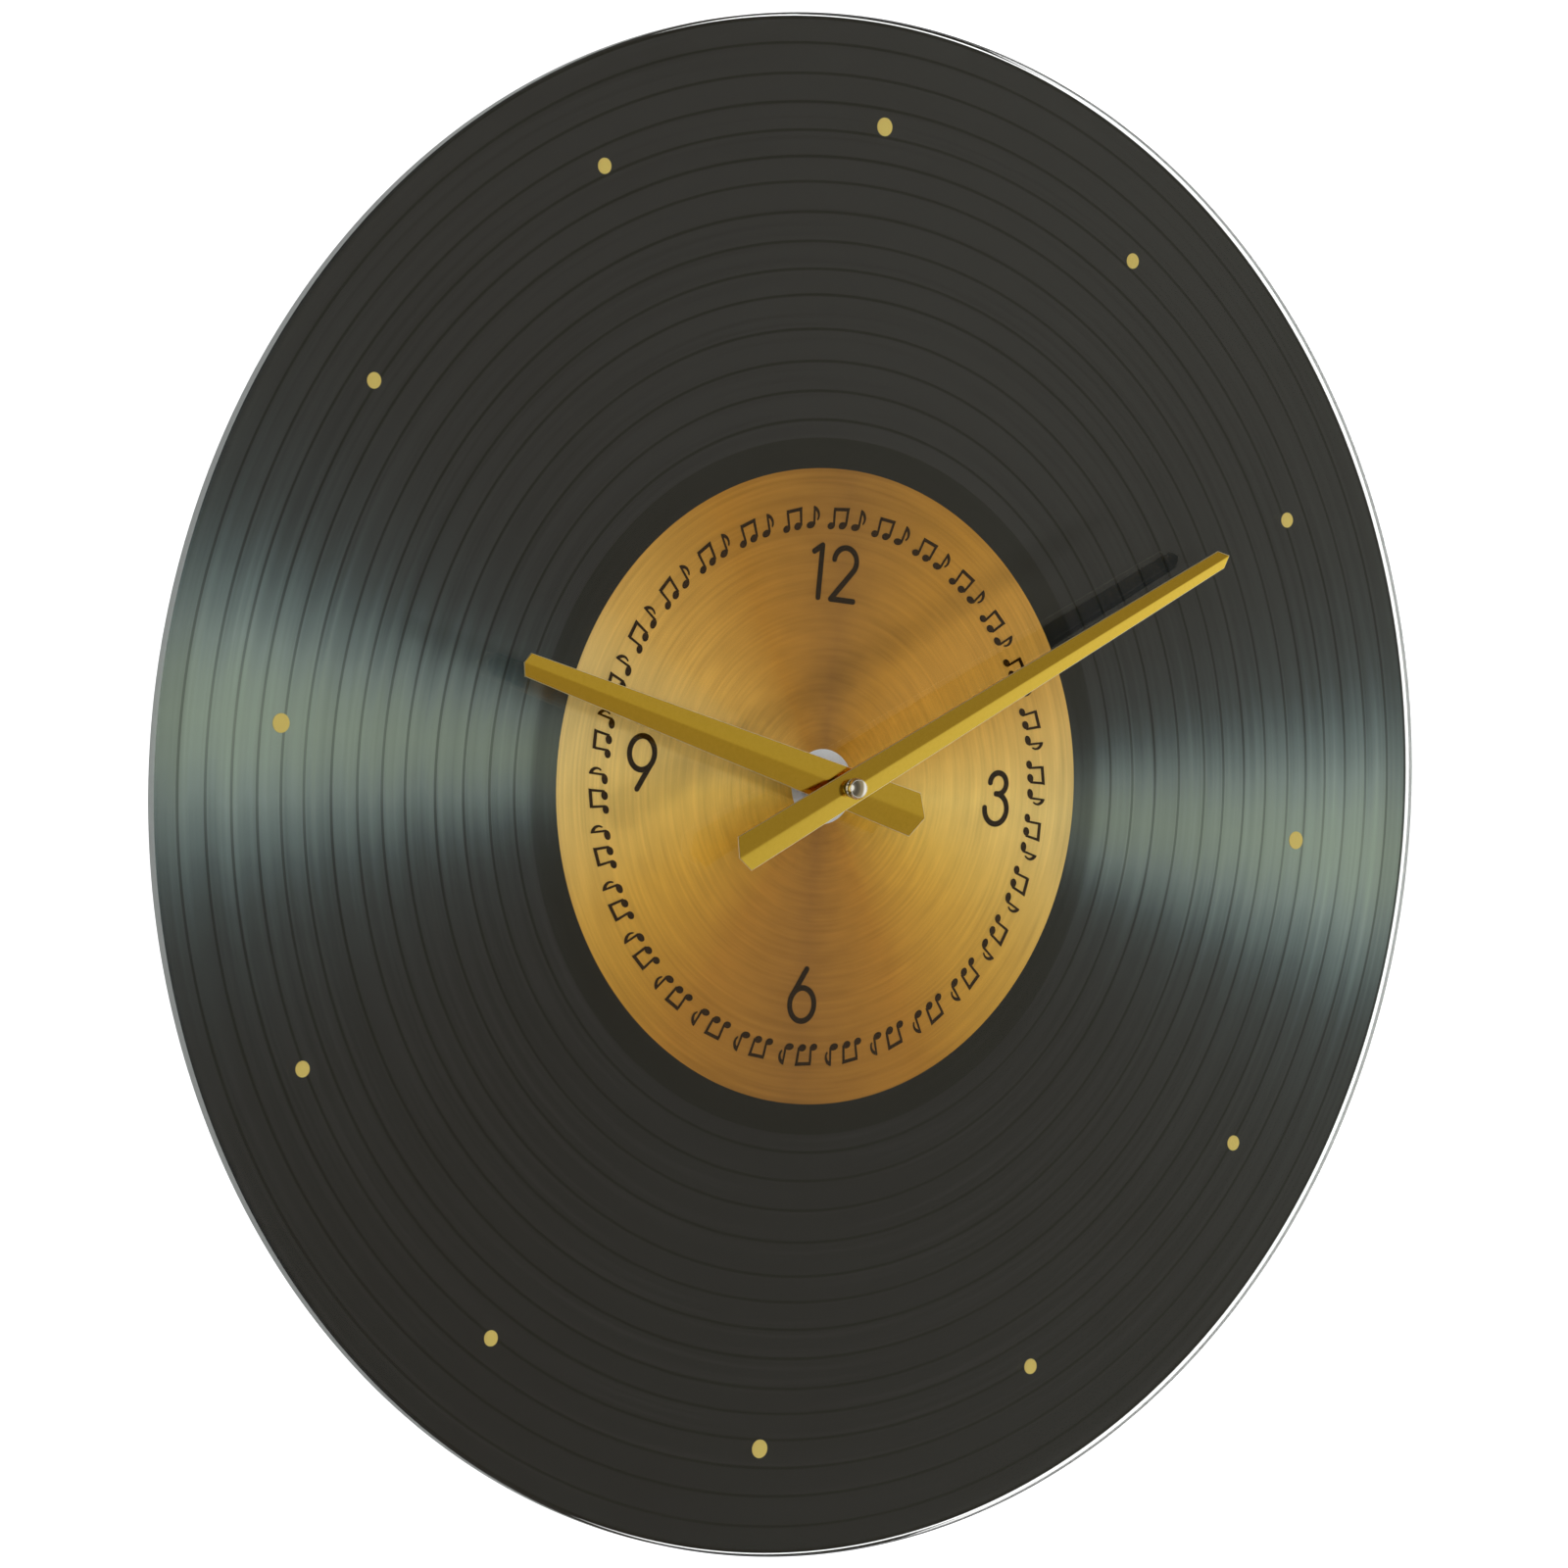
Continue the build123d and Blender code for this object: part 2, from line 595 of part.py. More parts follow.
def seconds_wheel():
    toothed = wheel(SECONDS_TEETH, SECONDS_MODULE, SECONDS_TURN, *SECONDS_WHEEL)
    windows = [drum(1.9, 3, 5, along(CENTRE, 5.2, 60 * k)) for k in range(6)]
    pinion = wheel(SECONDS_PINION_TEETH, THIRD_MODULE, SECONDS_PINION_TURN, *SECONDS_PINION)
    hub = drum(1.0, SECONDS_WHEEL[0] - 0.5, SECONDS_PINION[0])
    return toothed - windows + hub + pinion + drum(PIVOT_RADIUS, 0.8, 7.5)


def intermediate_wheel():
    axis = INTERMEDIATE_AXIS
    toothed = wheel(INTERMEDIATE_TEETH, ROTOR_MODULE, INTERMEDIATE_TURN, *INTERMEDIATE_WHEEL, axis)
    teeth = INTERMEDIATE_PINION_TEETH
    pinion = wheel(teeth, SECONDS_MODULE, INTERMEDIATE_PINION_TURN, *INTERMEDIATE_PINION, axis)
    hub = drum(0.9, INTERMEDIATE_WHEEL[1], INTERMEDIATE_PINION[0], axis)
    return toothed + hub + pinion + drum(PIVOT_RADIUS, 1.5, 7.5, axis)


MAGNET_RADIUS = 2.75
MAGNET = (4.9, 6.6)


def rotor_pinion():
    leaves = wheel(ROTOR_TEETH, ROTOR_MODULE, ROTOR_TURN, *ROTOR_PINION, ROTOR_AXIS)
    hub = drum(1.2, ROTOR_PINION[1], MAGNET[1], ROTOR_AXIS)
    flange = drum(2.4, MAGNET[0] - 0.5, MAGNET[0], ROTOR_AXIS)
    return leaves + hub + flange + drum(PIVOT_RADIUS, 1.5, 7.5, ROTOR_AXIS)


def rotor_magnet():
    return tube(MAGNET_RADIUS, 1.2, *MAGNET, ROTOR_AXIS)


KNOB_RADIUS = 6.0
KNOB_SHAFT = 1.25
KNOB_HEAD = (0.3, 2.3)
KNOB_RIBS = 36


def setting_knob():
    """The ribbed knob at the back that turns the hands, with its shaft and pinion."""
    head = drum(KNOB_RADIUS - 0.25, *KNOB_HEAD, KNOB_AXIS)
    for rib in range(KNOB_RIBS):
        head += drum(0.28, *KNOB_HEAD, along(KNOB_AXIS, KNOB_RADIUS - 0.28, 360 * rib / KNOB_RIBS))
    head -= tube(4.6, 2.2, KNOB_HEAD[0] - 1, KNOB_HEAD[0] + 0.5, KNOB_AXIS)
    shaft = drum(KNOB_SHAFT, KNOB_HEAD[1], KNOB_PINION[1], KNOB_AXIS)
    pinion = wheel(KNOB_TEETH, MOTION_MODULE, KNOB_TURN, *KNOB_PINION, KNOB_AXIS)
    return head + shaft + pinion + drum(0.8, KNOB_PINION[1], 14.2, KNOB_AXIS)


# ---------------------------------------------------------------- the movement case
PLATE_POSTS = [(14.5, 10.5), (2.0, -14.5), (-13.8, 18.0)]
POST_RADIUS = 1.5
RECESS_RADIUS = 6.6
RECESS_FLOOR = 2.6


def front_case():
    """The moulded front half: train chamber, battery bay, posts and bearings."""
    width = (-CASE_HALF_WIDTH, CASE_HALF_WIDTH)
    shell = rounded_plate(*width, CASE_BOTTOM, CASE_TOP, CASE_CORNER, 0, CASE_DEPTH)
    shell -= block(-40, 40, PARTITION_TOP, 40, -1, COVER_THICK)
    inside = CASE_HALF_WIDTH - CASE_WALL
    shell -= block(-inside, inside, PARTITION_TOP, CASE_TOP - CASE_WALL, -1, INNER_FRONT)
    shell -= block(-BAY_HALF_WIDTH, BAY_HALF_WIDTH, BAY_BOTTOM, BAY_TOP, -1, INNER_FRONT)
    shell -= drum(BUSH_RADIUS, INNER_FRONT - 1, CASE_DEPTH + 1)
    for wall, inward in ((BAY_TOP, -1), (BAY_BOTTOM, 1)):
        lip = polygon((0, 0), (0, 1.2), (1.3 * inward, 0.9), (1.3 * inward, 0.3))
        snap = extrude(Plane(origin=(0, wall, 0), x_dir=(0, 1, 0), z_dir=(1, 0, 0)) * lip, 8, both=True)
        shell += snap
    for post in PLATE_POSTS:
        shell += tube(POST_RADIUS, 0.5, TRAIN_PLATE[1], INNER_FRONT, post)
    shell += drum(0.8, 9.9, INNER_FRONT, MOTION_AXIS)
    shell += tube(1.6, PIVOT_RADIUS + RUNNING, 13.4, INNER_FRONT, THIRD_AXIS)
    shell += tube(1.8, 0.8 + RUNNING, 12.2, INNER_FRONT, KNOB_AXIS)
    for side in (-1, 1):
        for height in (-10, 12):
            shell -= Pos(side * CASE_HALF_WIDTH, height, 4.6) * Box(4, 5, 1.6)
    return shell


def rear_cover():
    """The flat rear cover, with the knob's recess, the rear bearings and the snap hooks."""
    cover = rounded_plate(-CASE_HALF_WIDTH, CASE_HALF_WIDTH, -40, CASE_TOP, CASE_CORNER, 0, COVER_THICK)
    cover -= block(-40, 40, -60, PARTITION_TOP, -1, 5)
    cover -= drum(RECESS_RADIUS, -1, COVER_THICK + 1, KNOB_AXIS)
    cover += tube(RECESS_RADIUS + 0.8, RECESS_RADIUS, 0, RECESS_FLOOR + 0.8, KNOB_AXIS)
    cover += tube(RECESS_RADIUS + 0.8, KNOB_SHAFT + RUNNING, RECESS_FLOOR, RECESS_FLOOR + 0.8, KNOB_AXIS)
    for axis in (THIRD_AXIS, INTERMEDIATE_AXIS, ROTOR_AXIS):
        cover += drum(1.3, COVER_THICK, 1.9, axis)
        cover -= drum(PIVOT_RADIUS + RUNNING, 0.8, 3, axis)
    cover += drum(1.3, COVER_THICK, 2.2)
    cover -= drum(PIVOT_RADIUS + RUNNING, 0.6, 3)
    inside = CASE_HALF_WIDTH - CASE_WALL
    for side in (-1, 1):
        for height in (-10, 12):
            arm = block(inside - 1.0, inside - 0.1, height - 2, height + 2, COVER_THICK, 5.2)
            barb = block(inside - 0.1, inside + 0.7, height - 2, height + 2, 4.0, 5.2)
            hook = arm + barb
            cover += hook if side > 0 else mirror(hook, Plane.YZ)
    arrow = SlotArc(CenterArc((KNOB_AXIS[0], KNOB_AXIS[1]), 9.2, 20, 70), 0.9)
    head = along(KNOB_AXIS, 9.2, 95)
    arrow += Pos(*head) * Rot(0, 0, 185) * RegularPolygon(1.5, 3)
    return cover - slab(arrow, -1, 0.3)


def train_plate():
    """The bridge that carries the front pivots of the going train."""
    outline = polygon(
        (-16.2, 19.5), (-9, 19.5), (8, 14.5), (16.6, 12.6), (16.6, 8),
        (14.2, -6), (4.6, -16.6), (-0.6, -16.6), (-16.2, 15),
    )
    plate = slab(outline, *TRAIN_PLATE) - drum(0.9, 6, 9, THIRD_AXIS)
    for axis in (CENTRE, INTERMEDIATE_AXIS, ROTOR_AXIS):
        plate -= drum(PIVOT_RADIUS + RUNNING, 6, 9, axis)
    for post in PLATE_POSTS:
        plate -= drum(0.6, 6, 9, post)
    return plate


def plate_screws():
    """The three small screws that hold the bridge on its posts."""
    screws = []
    for number, post in enumerate(PLATE_POSTS):
        seat = STATOR[0] if number == 2 else TRAIN_PLATE[0]
        screw = drum(1.2, seat - 0.7, seat, post) + drum(0.5, seat, TRAIN_PLATE[1] + 4, post)
        screws.append(screw - Pos(post[0], post[1], seat - 0.7) * Box(2.6, 0.3, 0.5))
    return screws


COIL_X = -22.3
COIL_DEPTH = 7.4
COIL_BOTTOM = -3.8
COIL_TOP = 16.6
COIL_FLANGE = 0.8
SPOOL_RADIUS = 2.4
WINDING_RADIUS = 3.3


def upright_bar(radius, bottom, top):
    """A round bar standing along the coil's axis."""
    bar_length = top - bottom
    place = Pos(COIL_X, (bottom + top) / 2, COIL_DEPTH) * Rot(90, 0, 0)
    return place * Cylinder(radius, bar_length)


def coil_bobbin():
    spool = upright_bar(SPOOL_RADIUS, COIL_BOTTOM, COIL_TOP)
    spool += upright_bar(3.7, COIL_BOTTOM, COIL_BOTTOM + COIL_FLANGE)
    spool += upright_bar(3.7, COIL_TOP - COIL_FLANGE, COIL_TOP)
    return spool - block(COIL_X - 1.5, COIL_X + 1.5, -20, 30, COIL_DEPTH - 0.5, COIL_DEPTH + 0.5)


def coil_winding():
    bottom = COIL_BOTTOM + COIL_FLANGE
    top = COIL_TOP - COIL_FLANGE
    return upright_bar(WINDING_RADIUS, bottom, top) - upright_bar(SPOOL_RADIUS, bottom - 1, top + 1)


def coil_core():
    return block(COIL_X - 1.5, COIL_X + 1.5, -6.3, 19.2, COIL_DEPTH - 0.5, COIL_DEPTH + 0.5)


def stator():
    """The soft-iron plate that leads the coil's field round the rotor."""
    outline = polygon(
        (-26, 19.4), (-4.6, 19.4), (-4.6, 8.4), (-15.6, 8.4), (-15.6, -6.5), (-26, -6.5),
        (-26, -4.1), (-17.9, -4.1), (-17.9, 10.9), (-13.6, 10.9), (-13.6, 16.9), (-26, 16.9),
    )
    plate = slab(outline, *STATOR) - drum(MAGNET_RADIUS + 0.45, 5, 8, ROTOR_AXIS)
    return plate - drum(0.6, 5, 8, PLATE_POSTS[2])


BOARD = (17.4, 26.6, 8.8, 19.5)
BOARD_DEPTHS = (8.6, 9.4)


def circuit_board():
    return block(*BOARD, *BOARD_DEPTHS)


def chip_blob():
    blob = Pos(23.6, 15.8, BOARD_DEPTHS[0]) * Sphere(2.3)
    return blob & block(20, 27, 12, 20, BOARD_DEPTHS[0] - 1.1, BOARD_DEPTHS[0])


def quartz_crystal():
    """The small metal can of the watch crystal, lying on the board."""
    place = Pos(18.9, 13.9, BOARD_DEPTHS[0] - 1.0) * Rot(90, 0, 0)
    return place * Cylinder(1.0, 6.0)


# ---------------------------------------------------------------- the battery
def battery():
    """A pencil cell lying across the bay, its plus end to the right."""
    shoulder = BATTERY_PLUS_X - BATTERY_NUB_LENGTH
    place = Pos(0, BATTERY_Z, BATTERY_DEPTH) * Rot(0, 90, 0)
    can = Pos(0, 0, shoulder - BATTERY_LENGTH / 2) * Cylinder(BATTERY_RADIUS, BATTERY_LENGTH)
    rims = can.edges().filter_by(GeomType.CIRCLE)
    can = chamfer(rims, 0.5)
    nub = Pos(0, 0, shoulder + BATTERY_NUB_LENGTH / 2) * Cylinder(BATTERY_NUB_RADIUS, BATTERY_NUB_LENGTH)
    return place * (can + nub)


def contact_plus():
    plate = block(BAY_HALF_WIDTH - 0.4, BAY_HALF_WIDTH, -31.5, -21.5, 2.6, 13.4)
    return plate + block(BATTERY_PLUS_X, BAY_HALF_WIDTH - 0.3, -28.2, -25.4, 6.5, 9.3)


def contact_minus():
    """The bent leaf that presses on the cell's flat end."""
    end = BATTERY_PLUS_X - BATTERY_NUB_LENGTH - BATTERY_LENGTH
    leaf = polygon(
        (-BAY_HALF_WIDTH, 13.4),
        (-BAY_HALF_WIDTH + 0.4, 13.4),
        (-BAY_HALF_WIDTH + 0.4, 3.6),
        (end - 0.4, 7.2),
        (end - 0.4, 9.2),
        (end - 1.2, 10.6),
        (end - 0.7, 10.8),
        (end, 9.3),
        (end, 7.1),
        (-BAY_HALF_WIDTH + 0.5, 2.6),
        (-BAY_HALF_WIDTH, 2.6),
    )
    return Pos(0, BATTERY_Z, 0) * extrude(Plane.XZ * leaf, 3.5, both=True)


# ---------------------------------------------------------------- write every piece
save("glass_disc", glass_disc())
save("record_print", tube(PRINT_RADIUS, LABEL_RADIUS, FILM_BACK, FILM_FRONT))
save("label_print", tube(LABEL_RADIUS, SPOT_RADIUS, FILM_BACK, FILM_FRONT))
save("centre_spot", tube(SPOT_RADIUS, DISC_HOLE_RADIUS, FILM_BACK, FILM_FRONT))
save("backing_film", tube(PRINT_RADIUS, DISC_HOLE_RADIUS, BACKING_BACK, FILM_BACK))
save("hour_dots", *hour_dots())
save("numerals", *numerals())
save("note_ring", *note_ring())

save("threaded_bush", threaded_bush())
save("hanger_bracket", hanger_bracket())
save("rear_gasket", tube(GASKET_RADIUS, BUSH_RADIUS + 0.1, GASKET_BACK, BACKING_BACK))
save("rubber_washer", tube(WASHER_RADIUS + 0.1, BUSH_RADIUS + 0.1, GLASS_FRONT, GLASS_FRONT + RUBBER_THICK))
WASHER_BACK = GLASS_FRONT + RUBBER_THICK
save("brass_washer", tube(WASHER_RADIUS, BUSH_RADIUS + 0.1, WASHER_BACK, WASHER_BACK + WASHER_THICK))
save("hex_nut", hex_nut())

save("hour_hand", hour_hand())
save("hour_wheel", hour_wheel())
save("minute_hand", minute_hand())
save("minute_arbor", minute_arbor())
save("clutch_spring", clutch_spring())
save("cap_nut", cap_nut())

save("front_case", front_case())
save("rear_cover", rear_cover())
save("train_plate", train_plate())
save("plate_screws", *plate_screws())
save("motion_wheel", motion_wheel())
save("centre_wheel", centre_wheel())
save("third_wheel", third_wheel())
save("seconds_wheel", seconds_wheel())
save("intermediate_wheel", intermediate_wheel())
save("rotor_pinion", rotor_pinion())
save("rotor_magnet", rotor_magnet())
save("setting_knob", setting_knob())

save("coil_bobbin", coil_bobbin())
save("coil_winding", coil_winding())
save("coil_core", coil_core())
save("stator", stator())
save("circuit_board", circuit_board())
save("chip_blob", chip_blob())
save("quartz_crystal", quartz_crystal())

save("battery", battery())
save("contact_plus", contact_plus())
save("contact_minus", contact_minus())
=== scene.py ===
# %% [markdown]
# # A glass wall clock that looks like a record
#
# The real object is one flat disc of clear glass, 430 mm across, with a printed film
# behind it.  The print looks like the grooves and the paper label of a record.  A plain
# battery movement hangs behind the middle, and two folded metal hands turn in front.
#
# The measured frame is loaded first, and it never moves.  Everything made below either
# gives a part of that frame its finish, or is a finer piece that stands in for one.

from math import atan2, cos, pi, radians, sin, sqrt

import bmesh
import bpy
from mathutils import Matrix, Vector


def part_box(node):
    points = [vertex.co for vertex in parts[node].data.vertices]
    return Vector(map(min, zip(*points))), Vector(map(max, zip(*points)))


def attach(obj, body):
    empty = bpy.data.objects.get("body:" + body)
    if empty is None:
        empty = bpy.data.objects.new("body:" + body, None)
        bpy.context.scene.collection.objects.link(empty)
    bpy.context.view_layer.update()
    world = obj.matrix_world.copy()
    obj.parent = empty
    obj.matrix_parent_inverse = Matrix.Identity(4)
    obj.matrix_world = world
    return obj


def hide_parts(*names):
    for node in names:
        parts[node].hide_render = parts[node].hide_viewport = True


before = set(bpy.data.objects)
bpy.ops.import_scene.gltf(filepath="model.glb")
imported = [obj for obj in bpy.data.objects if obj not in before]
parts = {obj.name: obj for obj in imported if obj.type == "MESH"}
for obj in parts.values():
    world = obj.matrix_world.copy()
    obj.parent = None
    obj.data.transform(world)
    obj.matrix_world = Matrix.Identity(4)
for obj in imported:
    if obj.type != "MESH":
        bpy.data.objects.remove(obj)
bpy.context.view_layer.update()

# %% [markdown]
# ## Where things are
#
# Depth is counted out from the wall, in millimetres, because that is how a clock maker stacks a dial.
# The depths of the glass, the films, the dots and the cap are read from the frame, so these finer pieces
# land where the parts that they stand for were; the depths of the hands and their collars are given as
# numbers.

# %% Read the stack of the dial from the frame
MM = 0.001


def back_of(part):
    """How far the back of a part stands out from the wall."""
    return -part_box(part)[1].y / MM


def front_of(part):
    """How far the front of a part stands out from the wall."""
    return -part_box(part)[0].y / MM


def reach_of(part):
    """How far a round part reaches from the hands' axis."""
    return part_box(part)[1].x / MM


DISC = reach_of("glass_disc")
PRINT = reach_of("record_print")
LABEL = reach_of("label_print")
SPOT = reach_of("centre_spot")
HOLE = 4.5
print(f"glass to {DISC:.1f}, print to {PRINT:.1f}, label to {LABEL:.1f}, spot to {SPOT:.1f} mm")

# %% [markdown]
# ## The camera
#
# The clock is seen from a little below and well to its left, from across a small room
# and through a long lens, so the disc is a narrow oval with hardly any perspective.
# The camera is tipped slightly, which leans the 12 over to the right.

# %% Stand the camera
AIM = Vector((-13.3, -20.5, -0.5)) * MM
STAND_LEFT = radians(35.34)
STAND_LOW = radians(1.63)
STAND_OFF = 1.783
TIP = radians(5.42)
LENS = 147.3


def direction(right, up):
    """A unit arrow from the clock into the room, turned to the right and then up."""
    return Vector((sin(right) * cos(up), -cos(right) * cos(up), sin(up)))


eye = bpy.data.cameras.new("room_camera")
eye.lens = LENS
camera = bpy.data.objects.new("room_camera", eye)
bpy.context.scene.collection.objects.link(camera)
camera.location = AIM + STAND_OFF * direction(-STAND_LEFT, -STAND_LOW)
looking = (AIM - camera.location).to_track_quat("-Z", "Y")
camera.rotation_euler = (looking.to_matrix() @ Matrix.Rotation(TIP, 3, "Z")).to_euler()
bpy.context.scene.camera = camera
bpy.context.scene.view_settings.view_transform = "Standard"
print("camera at", [round(v, 3) for v in camera.location])

# %% [markdown]
# ## Helpers for node finishes
#
# A finish is a small network of nodes round one shader.  Three helpers keep each network
# short: one for arithmetic, one to mix two colours, one for a ramp of colours.  Paint
# numbers are given as on a paint chart, from 0 to 255, and turned into light.

# %% Node helpers
def paint(red, green, blue):
    """A paint-chart colour as the linear values that a shader takes."""
    shares = [value / 255 for value in (red, green, blue)]
    return tuple(v / 12.92 if v < 0.04 else ((v + 0.055) / 1.055) ** 2.4 for v in shares)


def connect(tree, value, socket):
    """Joins a socket, or sets a number or a colour."""
    if isinstance(value, bpy.types.NodeSocket):
        tree.links.new(value, socket)
    elif isinstance(value, (tuple, list)) and socket.type == "RGBA":
        socket.default_value = (*value, 1)
    else:
        socket.default_value = value


def sum_of(tree, operation, *values):
    """One arithmetic node."""
    node = tree.nodes.new("ShaderNodeMath")
    node.operation = operation
    for socket, value in zip(node.inputs, values):
        connect(tree, value, socket)
    return node.outputs[0]


def mixed(tree, share, first, second, how="MIX"):
    """Two colours mixed; share is how much of the second there is."""
    node = tree.nodes.new("ShaderNodeMix")
    node.data_type = "RGBA"
    node.blend_type = how
    connect(tree, share, node.inputs[0])
    connect(tree, first, node.inputs[6])
    connect(tree, second, node.inputs[7])
    return node.outputs[2]


def ramp(tree, value, stops, between="LINEAR"):
    """A ramp of colours; stops is a list of (place from 0 to 1, colour)."""
    node = tree.nodes.new("ShaderNodeValToRGB")
    node.color_ramp.interpolation = between
    marks = node.color_ramp.elements
    while len(marks) < len(stops):
        marks.new(0.5)
    for mark, (place, colour) in zip(marks, sorted(stops)):
        mark.position = place
        mark.color = (*colour, 1)
    connect(tree, value, node.inputs[0])
    return node.outputs[0]


def speckle(tree, where, scale, detail=2.0, roughness=0.5):
    """A noise from 0 to 1 at this many grains a metre."""
    node = tree.nodes.new("ShaderNodeTexNoise")
    node.inputs["Scale"].default_value = scale
    node.inputs["Detail"].default_value = detail
    node.inputs["Roughness"].default_value = roughness
    connect(tree, where, node.inputs["Vector"])
    return node.outputs[0]


def here(tree):
    """The place on the clock, in metres."""
    return tree.nodes.new("ShaderNodeTexCoord").outputs["Object"]


def bump(tree, shader, height, deep):
    """Relief of this depth in metres, from a height between 0 and 1."""
    node = tree.nodes.new("ShaderNodeBump")
    node.inputs["Distance"].default_value = deep
    connect(tree, height, node.inputs["Height"])
    connect(tree, node.outputs[0], shader.inputs["Normal"])


def new_finish(name, **constants):
    """A material with its tree and its shader; constants are set on the shader's own sockets."""
    material = bpy.data.materials.new(name)
    material.use_nodes = True
    shader = material.node_tree.nodes["Principled BSDF"]
    for socket, value in constants.items():
        connect(material.node_tree, value, shader.inputs[socket.replace("_", " ")])
    return material, material.node_tree, shader


def grey(share):
    """The same share of red, green and blue, for a ramp that carries a number."""
    return (share, share, share)


print("a mid grey chip reflects", round(paint(128, 128, 128)[0], 3), "of the light")


# %% [markdown]
# ## Polar places on the dial
#
# Everything printed on the dial is drawn round its middle, so its patterns need two
# numbers: how far out a point is, and which way it lies, like an hour.  Noise that follows
# the rings is made from the radius and from the cosine and sine of the direction, so that
# it has no seam at the 6.

# %% Polar helper
def polar(tree):
    """The radius in mm, and the direction's sine (x) and cosine (z) from the 12."""
    split = tree.nodes.new("ShaderNodeSeparateXYZ")
    connect(tree, here(tree), split.inputs[0])
    x, z = split.outputs["X"], split.outputs["Z"]
    squares = sum_of(tree, "ADD", sum_of(tree, "MULTIPLY", x, x), sum_of(tree, "MULTIPLY", z, z))
    metres = sum_of(tree, "SQRT", squares)
    radius = sum_of(tree, "MULTIPLY", metres, 1 / MM)
    return radius, sum_of(tree, "DIVIDE", x, metres), sum_of(tree, "DIVIDE", z, metres)


def ring_noise(tree, radius, sine, cosine, lines, drift, detail=2.0):
    """Noise stretched along the rings: lines to the mm outwards, drift round the dial."""
    place = tree.nodes.new("ShaderNodeCombineXYZ")
    connect(tree, sum_of(tree, "MULTIPLY", radius, lines), place.inputs[0])
    connect(tree, sum_of(tree, "MULTIPLY", sine, drift), place.inputs[1])
    connect(tree, sum_of(tree, "MULTIPLY", cosine, drift), place.inputs[2])
    return speckle(tree, place.outputs[0], 1.0, detail)


# %% [markdown]
# ## The record print
#
# On a real record the light catches the grooves in two bright fans, left and right.  Here
# the fans are printed, so they stay put when the viewer moves, and they belong in the
# colour of the film, not in its gloss.  The fan is a ramp over the angle from the
# 3 to 9 line.  Each groove shifts that angle a little, which gives the fan its ragged
# edge.  The dark gaps between the tracks are rings at fixed radii, and the last band
# before the label is smooth and darker.

# %% How a print looks through the glass
# The share of the room's light that the glass mirrors, and the share that it lets through.
MIRRORED = 0.003
THROUGH = 0.9


def seen(red, green, blue):
    """The colour of a print that is to look like this paint from in front of the glass."""
    return tuple(max((light - MIRRORED) / THROUGH, 0.0005) for light in paint(red, green, blue))


print("a white print is inked", [round(light, 2) for light in seen(224, 226, 230)])


# %% [markdown]
# The sizes of the print come first, in millimetres from the middle and in degrees from the
# line from 3 to 9.  The fan is strongest near the rim and fades towards the label, so it
# has one list over the angle and one over the radius, and its tint goes from blue at the
# edge of the fan to a warmer grey in its middle.

# %% The record film's finish
DEAD_WAX_END = 97.3
FIRST_GAP = 102.3
TRACK_WIDTHS = (8.0, 8.3, 8.9, 9.5, 7.2, 7.7, 8.1, 8.4, 7.0, 7.3, 7.8, 7.9, 8.4)
GAP_HALF = 0.42
RIM_BORDER = 213.3
FAN = (
    (0, 1.0), (3, 0.94), (6, 0.78), (9, 0.52), (12, 0.29), (15, 0.155), (18, 0.087),
    (24, 0.032), (30, 0.012), (42, 0.0),
)
FAN_REACH = (
    (95.5, 0.27), (98.5, 0.6), (106, 0.68), (123, 0.7), (140, 0.78), (156, 0.84), (172, 0.9),
    (187, 1.0), (205, 0.95), (207.5, 0.74), (213, 0.7),
)
FAN_TINTS = (
    (0.0, (0.24, 0.328, 0.34)), (0.29, (0.27, 0.368, 0.368)), (0.78, (0.312, 0.39, 0.356)),
    (1.0, (0.32, 0.392, 0.316)),
)
FAN_WANDER = 5.0
# The record's black is painted lighter towards the 12: the upper black holds a painted sheen, the room's
# light mirrored in the glass.
LOWER_BLACK = (0.0205, 0.0212, 0.0215)
PAINTED_SHEEN_BLACK = (0.0345, 0.035, 0.034)
SMOOTH_BLACK = (0.002, 0.003, 0.001)
GAP_BLACK = (0.006, 0.006, 0.006)


